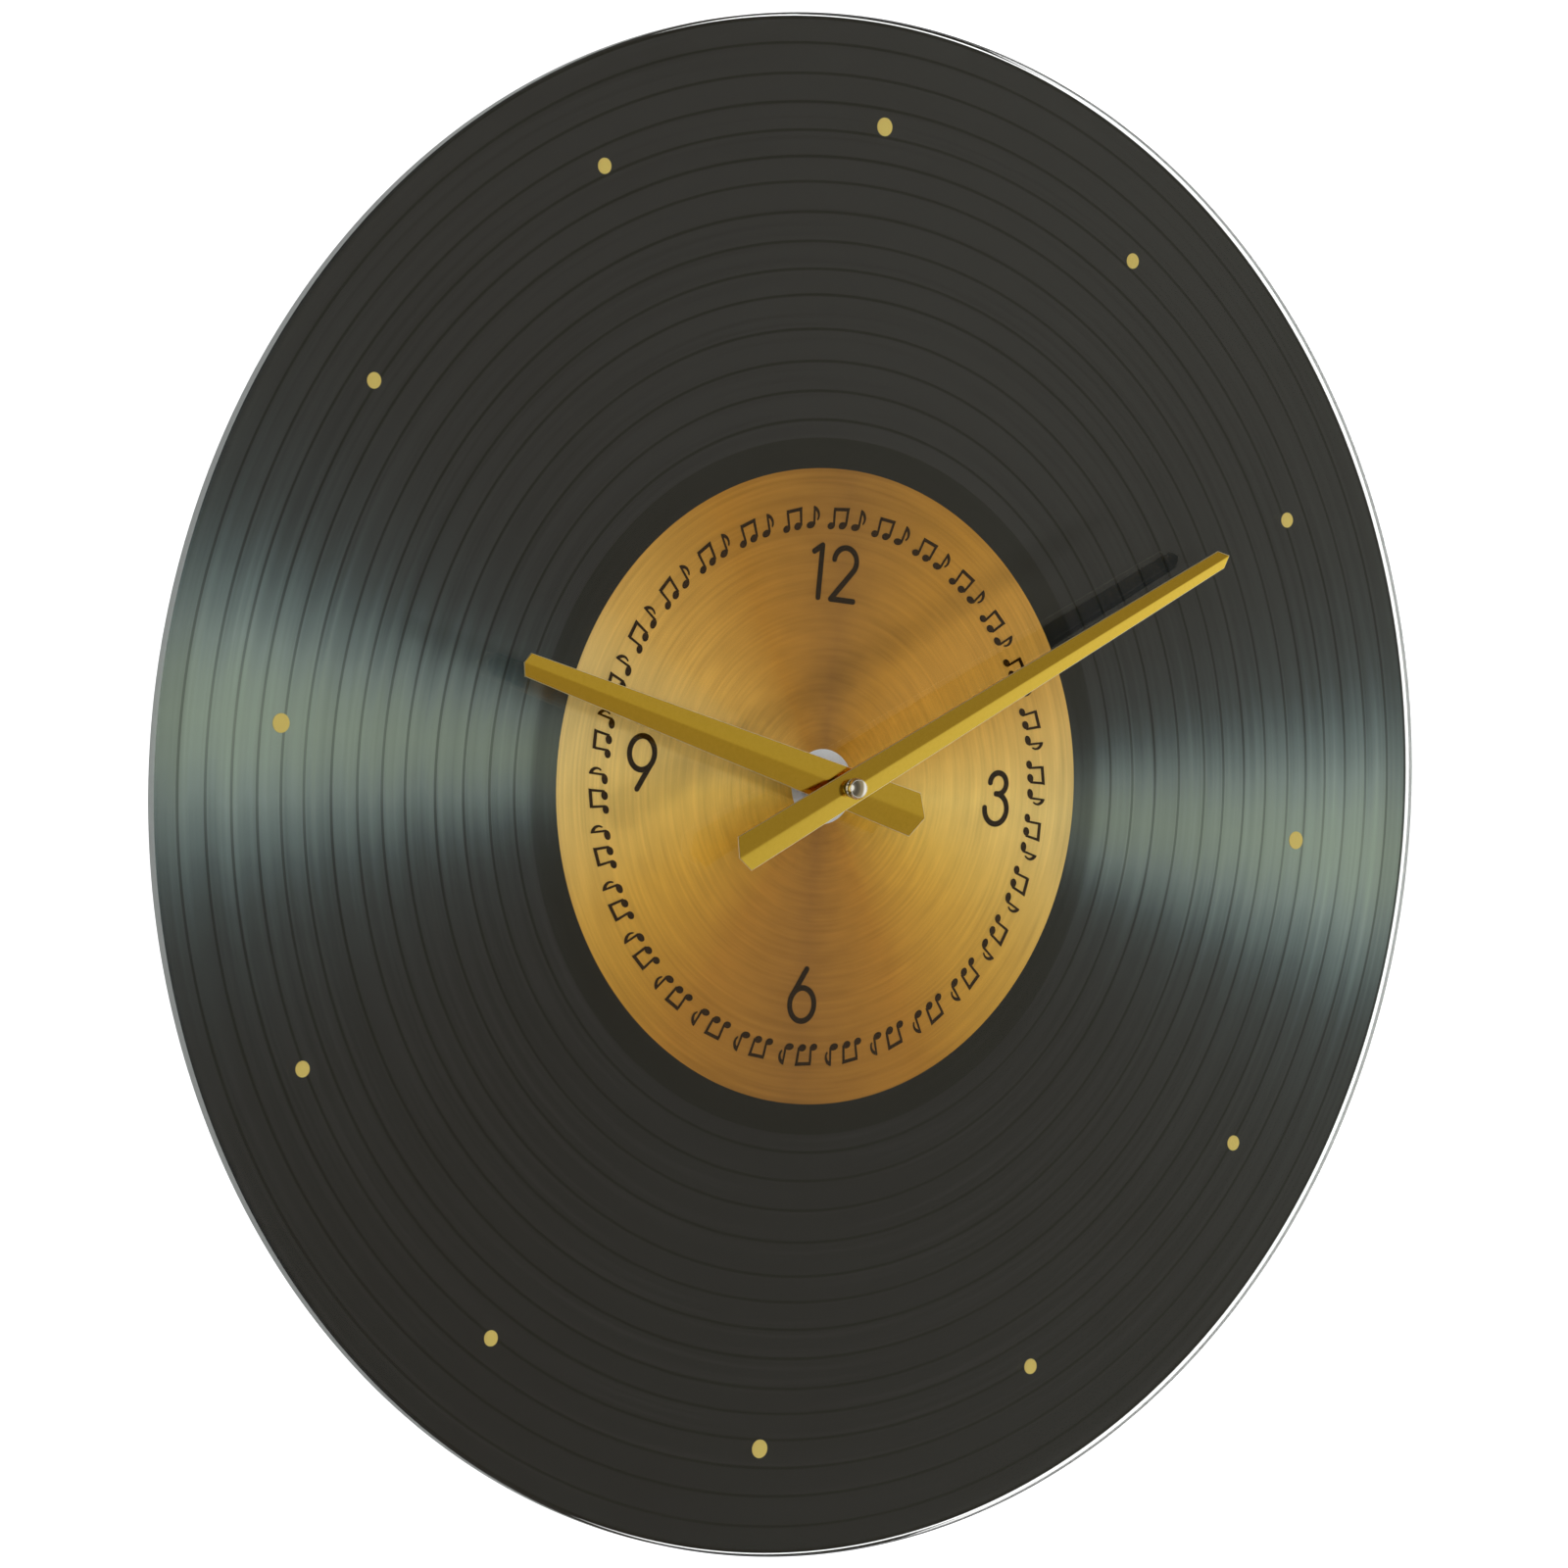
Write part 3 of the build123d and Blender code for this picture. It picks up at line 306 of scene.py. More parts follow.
def record_finish():
    film, tree, shader = new_finish("record_film", Roughness=0.5)
    shader.inputs["Specular IOR Level"].default_value = 0.0
    radius, sine, cosine = polar(tree)
    level = sum_of(tree, "ARCTAN2", sum_of(tree, "ABSOLUTE", cosine), sum_of(tree, "ABSOLUTE", sine))
    angle = sum_of(tree, "MULTIPLY", level, 180 / pi)
    wander = ring_noise(tree, radius, sine, cosine, 0.4, 0.6)
    wander = sum_of(tree, "SUBTRACT", wander, 0.5)
    angle = sum_of(tree, "ADD", angle, sum_of(tree, "MULTIPLY", wander, FAN_WANDER))
    angle = sum_of(tree, "MAXIMUM", angle, 0.0)
    fan = ramp(tree, sum_of(tree, "DIVIDE", angle, 90), [(a / 90, grey(s)) for a, s in FAN])
    tint = ramp(tree, fan, FAN_TINTS)
    outwards = sum_of(tree, "DIVIDE", radius, PRINT)
    reach = ramp(tree, outwards, [(r / PRINT, grey(s)) for r, s in FAN_REACH])
    fan = sum_of(tree, "MULTIPLY", fan, reach)
    fine = ring_noise(tree, radius, sine, cosine, 0.55, 1.2)
    groove = sum_of(tree, "ADD", 0.8, sum_of(tree, "MULTIPLY", fine, 0.4))
    fan = sum_of(tree, "MULTIPLY", fan, groove)
    # Painted sheen: the black is mixed towards a lighter black towards the 12, as if the glass mirrored
    # a brighter room above; the streaks are the printed rings.
    upper = sum_of(tree, "ADD", 0.5, sum_of(tree, "MULTIPLY", cosine, 0.5))
    streaks = sum_of(tree, "MULTIPLY", sum_of(tree, "SUBTRACT", fine, 0.5), 1.6)
    dark = mixed(tree, sum_of(tree, "ADD", upper, streaks), LOWER_BLACK, PAINTED_SHEEN_BLACK)
    dead = sum_of(tree, "LESS_THAN", radius, DEAD_WAX_END)
    dark = mixed(tree, sum_of(tree, "MULTIPLY", dead, 0.45), dark, SMOOTH_BLACK)
    colour = mixed(tree, fan, dark, tint)
    gaps = 0.0
    gap = FIRST_GAP
    for width in (*TRACK_WIDTHS, 0.0):
        gaps = sum_of(tree, "ADD", gaps, sum_of(tree, "COMPARE", radius, gap, GAP_HALF))
        gap += width
    border = sum_of(tree, "GREATER_THAN", radius, RIM_BORDER)
    faint = sum_of(tree, "SUBTRACT", 0.6, sum_of(tree, "MULTIPLY", fan, 0.25))
    border = sum_of(tree, "MULTIPLY", border, 0.75)
    lines = sum_of(tree, "MAXIMUM", sum_of(tree, "MULTIPLY", gaps, faint), border)
    connect(tree, mixed(tree, lines, colour, GAP_BLACK), shader.inputs["Base Color"])
    return film


record_film = record_finish()
print("track gaps from", FIRST_GAP, "to", round(FIRST_GAP + sum(TRACK_WIDTHS), 1), "mm")

# %% [markdown]
# ## The gold label
#
# The label is a print of turned brass.  Brass turned on a lathe shines in cones that
# meet at the middle, bright towards 3 and 9 and brown towards 12 and 6.  One ramp over
# the direction gives the cones, and ring noise gives the marks of the tool.

# %% The label film's finish
CONES = (
    (0, (146, 103, 48)), (30, (175, 125, 48)), (48, (195, 143, 60)), (66, (206, 158, 68)),
    (90, (218, 183, 95)), (108, (210, 168, 72)), (120, (199, 153, 60)), (150, (167, 116, 45)),
    (179.9, (143, 99, 46)), (210, (165, 115, 46)), (240, (198, 150, 56)), (262, (214, 174, 80)),
    (282, (222, 188, 108)), (300, (203, 157, 74)), (330, (170, 119, 45)), (360, (146, 103, 48)),
)
PALE_GLINT = (236, 222, 180)


def label_finish():
    film, tree, shader = new_finish("label_film", Roughness=0.5)
    shader.inputs["Specular IOR Level"].default_value = 0.0
    radius, sine, cosine = polar(tree)
    turn = sum_of(tree, "DIVIDE", sum_of(tree, "ARCTAN2", sine, cosine), 2 * pi)
    turn = sum_of(tree, "FRACT", sum_of(tree, "ADD", turn, 1.0))
    gold = ramp(tree, turn, [(bearing / 360, seen(*colour)) for bearing, colour in CONES])
    glint = sum_of(tree, "POWER", sum_of(tree, "ABSOLUTE", sine), 10.0)
    outer = sum_of(tree, "POWER", sum_of(tree, "DIVIDE", radius, LABEL), 2.0)
    glint = sum_of(tree, "MULTIPLY", sum_of(tree, "MULTIPLY", glint, outer), 0.22)
    gold = mixed(tree, glint, gold, seen(*PALE_GLINT))
    tool = ring_noise(tree, radius, sine, cosine, 1.0, 1.6, 3.0)
    slow = ring_noise(tree, radius, sine, cosine, 0.22, 5.0, 1.0)
    marks = sum_of(tree, "ADD", sum_of(tree, "MULTIPLY", tool, 0.7), sum_of(tree, "MULTIPLY", slow, 0.3))
    # Painted light: the label is made lighter towards the middle, to offset the shade that the hands and
    # the hub cast there.
    inner = sum_of(tree, "MULTIPLY", sum_of(tree, "SUBTRACT", 1.0, outer), 0.14)
    marks = sum_of(tree, "ADD", sum_of(tree, "ADD", 0.6, inner), sum_of(tree, "MULTIPLY", marks, 0.8))
    shade = tree.nodes.new("ShaderNodeCombineColor")
    for socket in shade.inputs:
        connect(tree, marks, socket)
    connect(tree, mixed(tree, 1.0, gold, shade.outputs[0], "MULTIPLY"), shader.inputs["Base Color"])
    return film


label_film = label_finish()
print(len(CONES), "shades round the label")

# %% [markdown]
# ## Plain printed films and inks
#
# The centre spot is bare white film, the backing is a dull dark safety film that holds
# the glass together if it breaks, and the marks are ink.  None of them is one flat
# colour: film has a faint mottle and ink is thinner here and there.

# %% Films and inks
def mottled(name, first, second, scale, roughness=0.5, gloss=0.0):
    """A surface whose colour wanders between two close shades."""
    film, tree, shader = new_finish(name, Roughness=roughness)
    shader.inputs["Specular IOR Level"].default_value = gloss
    cloud = speckle(tree, here(tree), scale, 3.0)
    connect(tree, mixed(tree, cloud, first, second), shader.inputs["Base Color"])
    return film


white_film = mottled("white_film", seen(212, 216, 222), seen(224, 226, 230), 900)
backing_film = mottled("backing_film", paint(30, 30, 31), paint(44, 44, 45), 700, 0.6, 0.3)
dot_ink = mottled("dot_ink", seen(206, 182, 98), seen(218, 194, 112), 1500)
numeral_ink = mottled("numeral_ink", paint(28, 18, 10), paint(42, 28, 18), 1800)
note_ink = mottled("note_ink", paint(34, 20, 8), paint(52, 33, 17), 1800)
inks = (white_film, backing_film, dot_ink, numeral_ink, note_ink)
print("films and inks:", ", ".join(ink.name for ink in inks))

# %% [markdown]
# ## The glass
#
# The disc is float glass, polished on its faces and ground on its edge.  The faces must
# be truly clear, so that the print behind them stays sharp and the room is mirrored
# faintly over the black.  The ground edge lets light through but spreads it, so it looks
# grey from outside.

# %% Glass finishes
def clear_glass_finish():
    glass, tree, shader = new_finish("clear_glass", Roughness=0.0, IOR=1.5)
    shader.inputs["Specular IOR Level"].default_value = 0.0
    shader.inputs["Transmission Weight"].default_value = 1.0
    cloud = speckle(tree, here(tree), 3.0, 1.0)
    tint = mixed(tree, cloud, (0.975, 0.99, 0.985), (0.985, 0.995, 0.99))
    connect(tree, tint, shader.inputs["Base Color"])
    return glass


def ground_edge_finish():
    edge, tree, shader = new_finish("ground_edge", Roughness=0.9, IOR=1.5)
    shader.inputs["Transmission Weight"].default_value = 0.75
    grind = speckle(tree, here(tree), 2500, 3.0)
    tint = mixed(tree, grind, paint(206, 212, 208), paint(226, 230, 228))
    connect(tree, tint, shader.inputs["Base Color"])
    bump(tree, shader, grind, 0.02 * MM)
    return edge


clear_glass = clear_glass_finish()
ground_edge = ground_edge_finish()
print("glass:", clear_glass.name, "and", ground_edge.name)

# %% [markdown]
# ## Turned pieces
#
# Discs, films, washers and caps are all turned shapes: an outline carried round the
# hands' axis.  The frame keeps only a coarse copy of the large ones, so they are turned
# again here with many more steps, from an outline of (radius, depth) points.

# %% A lathe
ROUND = 512


def shaped(name, mesh_maker, body, finishes):
    """Makes a piece from bmesh code and lets it ride on a body."""
    mesh = bpy.data.meshes.new(name)
    work = bmesh.new()
    mesh_maker(work)
    bmesh.ops.recalc_face_normals(work, faces=work.faces)
    work.to_mesh(mesh)
    work.free()
    for finish in finishes:
        mesh.materials.append(finish)
    mesh.shade_smooth()
    piece = bpy.data.objects.new(name, mesh)
    bpy.context.scene.collection.objects.link(piece)
    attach(piece, body)
    return piece


def lathe(work, outline, steps=ROUND, slots=None, centre=(0.0, 0.0)):
    """Carries a closed outline of (radius, depth) points round an axis."""
    rings = []
    for radius, depth in outline:
        turn = [2 * pi * step / steps for step in range(steps)]
        places = [(centre[0] + radius * sin(a), -depth, centre[1] + radius * cos(a)) for a in turn]
        rings.append([work.verts.new(Vector(p) * MM) for p in places])
    for number, ring in enumerate(rings):
        after = rings[(number + 1) % len(rings)]
        for step in range(steps):
            ahead = (step + 1) % steps
            face = work.faces.new((ring[step], ring[ahead], after[ahead], after[step]))
            face.material_index = slots[number] if slots else 0


def crease(piece, angle=30):
    """Keeps edges sharper than this angle crisp in the shading."""
    piece.data.set_sharp_from_angle(angle=radians(angle))


# %% [markdown]
# The disc comes first.  Its sharp corners are ground away, front and back, by a narrow slope
# called the arris.  Only the rim is ground; the two slopes and the faces stay clear.  The
# glass casts no shadow of its own, so the lamp reaches the print behind it.

# %% Turn the glass disc
ARRIS = 0.5


def turn_glass(work):
    back, front = back_of("glass_disc"), front_of("glass_disc")
    outline = [
        (HOLE, back), (DISC - ARRIS, back), (DISC, back + ARRIS),
        (DISC, front - ARRIS), (DISC - ARRIS, front), (HOLE, front),
    ]
    lathe(work, outline, ROUND, [0, 0, 1, 0, 0, 0])


glass = shaped("clear_glass_disc", turn_glass, "clock_case", [clear_glass, ground_edge])
crease(glass, 20)
glass.visible_shadow = False
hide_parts("glass_disc")
print("glass", len(glass.data.polygons), "faces")

# %% [markdown]
# The print is a stack of flat rings behind the glass, and each is a film with its own ink.
# A loop makes them all, because they differ only in their part, their two radii and their
# finish.

# %% Cut the films
FILMS = (
    ("printed_record", "record_print", PRINT, LABEL, record_film, "record_film"),
    ("printed_label", "label_print", LABEL, SPOT, label_film, "label_film"),
    ("white_spot", "centre_spot", SPOT, HOLE, white_film, "white_film"),
    ("safety_backing", "backing_film", PRINT, HOLE, backing_film, "backing_film"),
)
for name, part, outer, inner, finish, slot in FILMS:
    back, front = back_of(part), front_of(part)
    ring = [(inner, back), (outer, back), (outer, front), (inner, front)]
    film = shaped(name, lambda work: lathe(work, ring), "clock_case", [finish])
    crease(film)
    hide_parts(part)
    print(name, round(outer, 1), "to", round(inner, 1), "mm")

# %% [markdown]
# ## The hour dots
#
# Twelve dots of pale gold ink.  Ink dries with a thin, slightly broken edge, so each dot is
# turned about its own middle from a short outline.  The places are read back from the
# frame's own dots: points that are joined by an edge belong to the same dot.

# %% Print the dots
def dot_places():
    """The middle and the radius of each dot of the frame, in mm."""
    work = bmesh.new()
    work.from_mesh(parts["hour_dots"].data)
    bmesh.ops.remove_doubles(work, verts=work.verts, dist=0.001 * MM)
    left = set(work.verts)
    found = []
    while left:
        island, edge = set(), [left.pop()]
        while edge:
            corner = edge.pop()
            island.add(corner)
            near = [e.other_vert(corner) for e in corner.link_edges]
            edge += [v for v in near if v in left]
            left -= set(near)
        xs = [v.co.x / MM for v in island]
        zs = [v.co.z / MM for v in island]
        found.append(((min(xs) + max(xs)) / 2, (min(zs) + max(zs)) / 2, (max(xs) - min(xs)) / 2))
    work.free()
    return sorted(found)


def print_dots(work):
    back, front = back_of("hour_dots"), front_of("hour_dots")
    for x, z, radius in dot_places():
        outline = [
            (0.02, back), (radius, back), (radius, back + 0.05),
            (radius - 0.08, front - 0.02), (0.02, front),
        ]
        lathe(work, outline, 64, None, (x, z))


dots = shaped("printed_hour_dots", print_dots, "clock_case", [dot_ink])
crease(dots)
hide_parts("hour_dots")
print(len(dot_places()), "dots")

# %% [markdown]
# ## The metal of the hands
#
# The hands are thin aluminium sheet, anodised gold and folded along the middle, so that
# one half faces up and the other down.  A satin metal shows the fold by itself, because
# each half mirrors another side of the room.  The hour hand has a thin clear coat too,
# which adds a pale sheen.  The cut edges are brighter, and the cap is polished nearly to a
# mirror.

# %% Metal finishes
def metal(name, first, second, roughness, lines=(300, 300, 300), coat=0.0, deep=0.004):
    """A metal whose brushing runs along the slow direction of lines (grains a metre)."""
    finish, tree, shader = new_finish(name, Metallic=1.0)
    shader.inputs["Coat Weight"].default_value = coat
    shader.inputs["Coat Roughness"].default_value = 0.25
    stretch = tree.nodes.new("ShaderNodeMapping")
    stretch.inputs["Scale"].default_value = lines
    connect(tree, here(tree), stretch.inputs[0])
    brush = speckle(tree, stretch.outputs[0], 1.0, 3.0)
    connect(tree, mixed(tree, brush, paint(*first), paint(*second)), shader.inputs["Base Color"])
    spread = sum_of(tree, "MULTIPLY", sum_of(tree, "SUBTRACT", brush, 0.5), 0.08)
    connect(tree, sum_of(tree, "ADD", spread, roughness), shader.inputs["Roughness"])
    bump(tree, shader, brush, deep * MM)
    return finish


hour_gold = metal("hour_hand_metal", (226, 190, 62), (236, 198, 76), 0.15, (900, 900, 900), 0.25)
minute_gold = metal("minute_hand_metal", (224, 190, 64), (234, 200, 78), 0.15, (900, 900, 900), 0.25)
cut_edge = metal("cut_edge_metal", (236, 228, 200), (246, 240, 220), 0.35, (900, 900, 900))
cap_metal = metal("cap_metal", (232, 228, 214), (240, 236, 224), 0.06, (200, 200, 200), 0.0, 0.0)
print("metals:", ", ".join(m.name for m in (hour_gold, minute_gold, cut_edge, cap_metal)))

# %% [markdown]
# ## Folded hands
#
# A hand is drawn flat first: a long taper with a blunt point at each end.  Then every
# point is lifted towards the fold line.  Rows run across the hand and columns along it,
# closer together near the fold, so the fold is a small round and not a knife edge.  The
# sheet gets its thickness by a second, lower copy of the surface, and a bevel breaks the
# cut edges, which is what makes them glint.

# %% Fold a hand
COLUMNS = (0, 0.035, 0.07, 0.11, 0.16, 0.3, 0.5, 0.75, 1.0)
ROWS = 14
SHEET = 0.5
RISE = 0.8
FOLD_ROUND = 0.05


def fold(work, angle, tip, tail, tip_width, tail_width, tip_point, tail_point, edge_front):
    """Builds one folded hand that points at an angle clockwise from the 12."""
    taper = (tip_width - tail_width) / (tip + tail - tip_point - tail_point)
    across = [-u for u in reversed(COLUMNS[1:])] + list(COLUMNS)

    def place(u, along, drop):
        half = (tail_width + taper * (min(along, tip - tip_point) + tail - tail_point)) / 2
        half = min(half, tail_width / 2)
        lift = RISE * (1 - sqrt(u * u + FOLD_ROUND**2) + FOLD_ROUND)
        x, depth = u * half, edge_front + lift - drop
        right = x * cos(angle) + along * sin(angle)
        up = along * cos(angle) - x * sin(angle)
        return Vector((right, -depth, up)) * MM

    def surface(drop):
        rows = []
        for row in range(ROWS + 1):
            share = row / ROWS
            line = []
            for u in across:
                low = -tail + tail_point * abs(u)
                high = tip - tip_point * abs(u)
                line.append(work.verts.new(place(u, low + (high - low) * share, drop)))
            rows.append(line)
        for lower, upper in zip(rows, rows[1:]):
            for a in range(len(across) - 1):
                work.faces.new((lower[a], lower[a + 1], upper[a + 1], upper[a]))
        return rows

    top, under = surface(0.0), surface(SHEET)
    rims = [
        ([row[0] for row in top], [row[0] for row in under]),
        ([row[-1] for row in top], [row[-1] for row in under]),
        (top[0], under[0]),
        (top[-1], under[-1]),
    ]
    for upper, lower in rims:
        for a in range(len(upper) - 1):
            work.faces.new((upper[a], upper[a + 1], lower[a + 1], lower[a]))


def soften(piece, width, angle=35, segments=2):
    """Breaks the sharp edges with a small bevel."""
    bevel = piece.modifiers.new("broken_edges", "BEVEL")
    bevel.width = width * MM
    bevel.segments = segments
    bevel.limit_method = "ANGLE"
    bevel.angle_limit = radians(angle)
    return bevel


# %% [markdown]
# Both hands come from the same fold with their own lengths, widths and points, and each has
# a small collar behind it that grips its tube.  They stand at the time that the clock shows.

# %% Make the two hands
COLLAR_STEPS = 96


def hour_shape(work):
    fold(
        work, angle=radians(282.0), tip=112.8, tail=28.3, tip_width=6.65, tail_width=12.8,
        tip_point=1.9, tail_point=3.1, edge_front=31.5,
    )
    lathe(work, [(2.75, 28.5), (3.4, 28.5), (3.4, 31.4), (2.75, 31.4)], COLLAR_STEPS)


def minute_shape(work):
    fold(
        work, angle=radians(57.8), tip=149.0, tail=42.5, tip_width=5.5, tail_width=10.5,
        tip_point=2.8, tail_point=2.6, edge_front=34.0,
    )
    lathe(work, [(1.7, 32.7), (2.5, 32.7), (2.5, 33.9), (1.7, 33.9)], COLLAR_STEPS)


HANDS = (
    ("folded_hour_hand", "hour_hand", hour_shape, hour_gold, "hour_group", "hour_hand_metal"),
    (
        "folded_minute_hand", "minute_hand", minute_shape, minute_gold, "minute_group",
        "minute_hand_metal",
    ),
)
for name, part, maker, finish, body, slot in HANDS:
    hand = shaped(name, maker, body, [finish, cut_edge])
    crease(hand, 28)
    soften(hand, 0.22, 50, 3).material = 1
    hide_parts(part)
    print(name, [round(v / MM, 1) for v in hand.dimensions])

# %% [markdown]
# ## The cap nut
#
# The smallest piece is the one that the eye goes to: a mirror-bright dome at the hub.
# It is turned from an arc with many steps, because a polished sphere shows every facet.

# %% Turn the cap
DOME_STEPS = 24


def turn_cap(work):
    base, top = back_of("cap_nut"), front_of("cap_nut")
    wide = reach_of("cap_nut")
    neck, bore = 2.3, 1.0
    shoulder = base + 2.2
    rise = top - shoulder
    big = (wide**2 + rise**2) / (2 * rise)
    sweep = atan2(wide, big - rise)
    outline = [
        (bore, base), (2.7, base), (2.7, base + 0.4), (neck, base + 0.6), (neck, base + 1.3),
        (wide, base + 1.8),
    ]
    for step in range(DOME_STEPS + 1):
        lean = sweep * (1 - step / DOME_STEPS)
        outline.append((max(big * sin(lean), 0.004), top - big * (1 - cos(lean))))
    outline += [(0.004, base + 2.0), (bore, base + 2.0)]
    lathe(work, outline, 128)


cap = shaped("domed_cap_nut", turn_cap, "minute_group", [cap_metal])
crease(cap, 35)
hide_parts("cap_nut")
print("cap", round(2 * reach_of("cap_nut"), 1), "mm across")

# %% [markdown]
# ## Finishes of the movement
#
# The back of the clock is a standard battery movement.  Its case is moulded in black
# plastic with a fine spark texture, its wheels are pale nylon, and its plates are iron.
# Each family is one function with its own scale of grain, and a table gives every part
# of the frame a finish of its own.

# %% Plastic, rubber and the rest
def plastic(name, first, second, roughness, grain=2500, deep=0.01):
    """Moulded plastic: nearly one colour, with the texture of the mould."""
    finish, tree, shader = new_finish(name)
    cloud = speckle(tree, here(tree), 120, 2.0)
    texture = speckle(tree, here(tree), grain, 2.0, 0.6)
    connect(tree, mixed(tree, cloud, paint(*first), paint(*second)), shader.inputs["Base Color"])
    spread = sum_of(tree, "MULTIPLY", sum_of(tree, "SUBTRACT", texture, 0.5), 0.2)
    connect(tree, sum_of(tree, "ADD", spread, roughness), shader.inputs["Roughness"])
    bump(tree, shader, texture, deep * MM)
    return finish


def wound(name, first, second, pitch):
    """Fine wire wound round an upright bobbin: ridges up its height."""
    finish, tree, shader = new_finish(name, Metallic=1.0, Roughness=0.28)
    wave = tree.nodes.new("ShaderNodeTexWave")
    wave.bands_direction = "Z"
    wave.inputs["Scale"].default_value = 1 / (pitch * MM) / 20 * pi
    connect(tree, here(tree), wave.inputs["Vector"])
    copper = mixed(tree, wave.outputs[1], paint(*first), paint(*second))
    connect(tree, copper, shader.inputs["Base Color"])
    bump(tree, shader, wave.outputs[1], 0.03 * MM)
    return finish


def jacket(name):
    """The battery's printed sleeve: bare metal ends, a dark body and a pale band."""
    finish, tree, shader = new_finish(name, Roughness=0.32)
    low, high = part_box("battery")
    split = tree.nodes.new("ShaderNodeSeparateXYZ")
    connect(tree, here(tree), split.inputs[0])
    along = sum_of(tree, "SUBTRACT", split.outputs["X"], low.x)
    share = sum_of(tree, "DIVIDE", along, high.x - low.x)
    steel, body, band = paint(178, 180, 182), paint(38, 66, 92), paint(214, 216, 214)
    stops = [(0.0, steel), (0.022, body), (0.7, band), (0.86, body), (0.958, steel)]
    colour = ramp(tree, share, stops, "CONSTANT")
    rub = speckle(tree, here(tree), 600, 4.0)
    worn = mixed(tree, sum_of(tree, "MULTIPLY", rub, 0.25), colour, paint(120, 124, 128))
    connect(tree, worn, shader.inputs["Base Color"])
    bare = ramp(tree, share, [(0.0, (1, 1, 1)), (0.022, (0, 0, 0)), (0.958, (1, 1, 1))], "CONSTANT")
    connect(tree, bare, shader.inputs["Metallic"])
    bump(tree, shader, rub, 0.008 * MM)
    return finish


def laminate(name):
    """Green solder mask with tinned tracks showing as raised lines."""
    finish, tree, shader = new_finish(name, Roughness=0.35)
    tracks = tree.nodes.new("ShaderNodeTexBrick")
    tracks.inputs["Scale"].default_value = 900
    tracks.inputs["Mortar Size"].default_value = 0.06
    turned = tree.nodes.new("ShaderNodeMapping")
    turned.inputs["Rotation"].default_value = (pi / 2, 0, 0)
    connect(tree, here(tree), turned.inputs[0])
    connect(tree, turned.outputs[0], tracks.inputs["Vector"])
    mask = speckle(tree, here(tree), 800, 2.0)
    green = mixed(tree, mask, paint(26, 92, 46), paint(34, 110, 58))
    board = mixed(tree, tracks.outputs["Fac"], green, paint(70, 140, 84))
    connect(tree, board, shader.inputs["Base Color"])
    bump(tree, shader, tracks.outputs["Fac"], 0.03 * MM)
    return finish


# %% [markdown]
# One table holds all the parts that keep the frame's own shape.  Fine even grain is used
# for brass and nickel, and a long brushing across the sheet for steel and iron.

# %% Give every part of the frame its finish
brush_across = (2500, 120, 120)
even = (900, 900, 900)
FINISHES = {
    "numerals": numeral_ink,
    "note_ring": note_ink,
    "threaded_bush": metal("bush_brass", (196, 160, 92), (214, 180, 112), 0.26, even),
    "hanger_bracket": metal("bracket_steel", (176, 180, 184), (200, 204, 208), 0.34, brush_across),
    "rear_gasket": plastic("gasket_rubber", (26, 26, 27), (38, 38, 39), 0.75, 1500, 0.03),
    "rubber_washer": plastic("washer_rubber", (28, 28, 28), (40, 40, 40), 0.7, 2500, 0.02),
    "brass_washer": metal("washer_brass", (206, 172, 98), (222, 190, 118), 0.24, even),
    "hex_nut": metal("nut_brass", (204, 170, 98), (220, 188, 116), 0.22, even),
    "hour_wheel": plastic("hour_wheel_plastic", (222, 220, 210), (232, 230, 222), 0.35),
    "minute_arbor": metal("arbor_brass", (196, 162, 92), (212, 178, 108), 0.2, even),
    "clutch_spring": metal("spring_brass", (208, 174, 92), (222, 190, 110), 0.25, even),
    "front_case": plastic("case_plastic", (24, 24, 26), (36, 36, 38), 0.5, 2200, 0.03),
    "rear_cover": plastic("cover_plastic", (28, 28, 30), (40, 40, 42), 0.52, 2200, 0.03),
    "train_plate": plastic("bridge_plastic", (206, 206, 200), (220, 220, 214), 0.45),
    "plate_screws": metal("screw_steel", (170, 172, 174), (190, 192, 194), 0.3, even),
    "motion_wheel": plastic("motion_plastic", (220, 218, 208), (232, 230, 220), 0.35),
    "centre_wheel": plastic("centre_plastic", (206, 206, 202), (220, 220, 216), 0.35),
    "third_wheel": plastic("third_plastic", (210, 210, 206), (222, 222, 218), 0.35),
    "seconds_wheel": plastic("seconds_plastic", (212, 212, 206), (224, 224, 218), 0.35),
    "intermediate_wheel": plastic("intermediate_plastic", (176, 44, 36), (194, 58, 46), 0.35),
    "rotor_pinion": plastic("rotor_plastic", (220, 218, 208), (232, 230, 220), 0.35),
    "rotor_magnet": metal(
        "magnet_ferrite", (70, 70, 72), (92, 92, 94), 0.55, (1500, 1500, 1500), 0.0, 0.02
    ),
    "setting_knob": plastic("knob_plastic", (196, 196, 194), (210, 210, 208), 0.4),
    "coil_bobbin": plastic("bobbin_plastic", (30, 30, 30), (42, 42, 42), 0.4),
    "coil_winding": wound("winding_copper", (150, 70, 34), (208, 118, 66), 0.3),
    "coil_core": metal("core_iron", (140, 140, 140), (168, 168, 168), 0.38, brush_across),
    "stator": metal("stator_iron", (150, 150, 148), (176, 176, 174), 0.36, brush_across),
    "circuit_board": laminate("board_laminate"),
    "chip_blob": plastic("chip_resin", (16, 16, 17), (26, 26, 27), 0.15, 300, 0.05),
    "quartz_crystal": metal("crystal_can", (200, 200, 198), (216, 216, 214), 0.2, (200, 200, 2000)),
    "battery": jacket("battery_jacket"),
    "contact_plus": metal("contact_nickel", (188, 184, 174), (206, 202, 192), 0.24, even),
    "contact_minus": metal("leaf_nickel", (188, 184, 174), (206, 202, 192), 0.24, even),
}
for part, finish in FINISHES.items():
    parts[part].data.materials.clear()
    parts[part].data.materials.append(finish)
print(len(FINISHES), "parts keep their own shape")

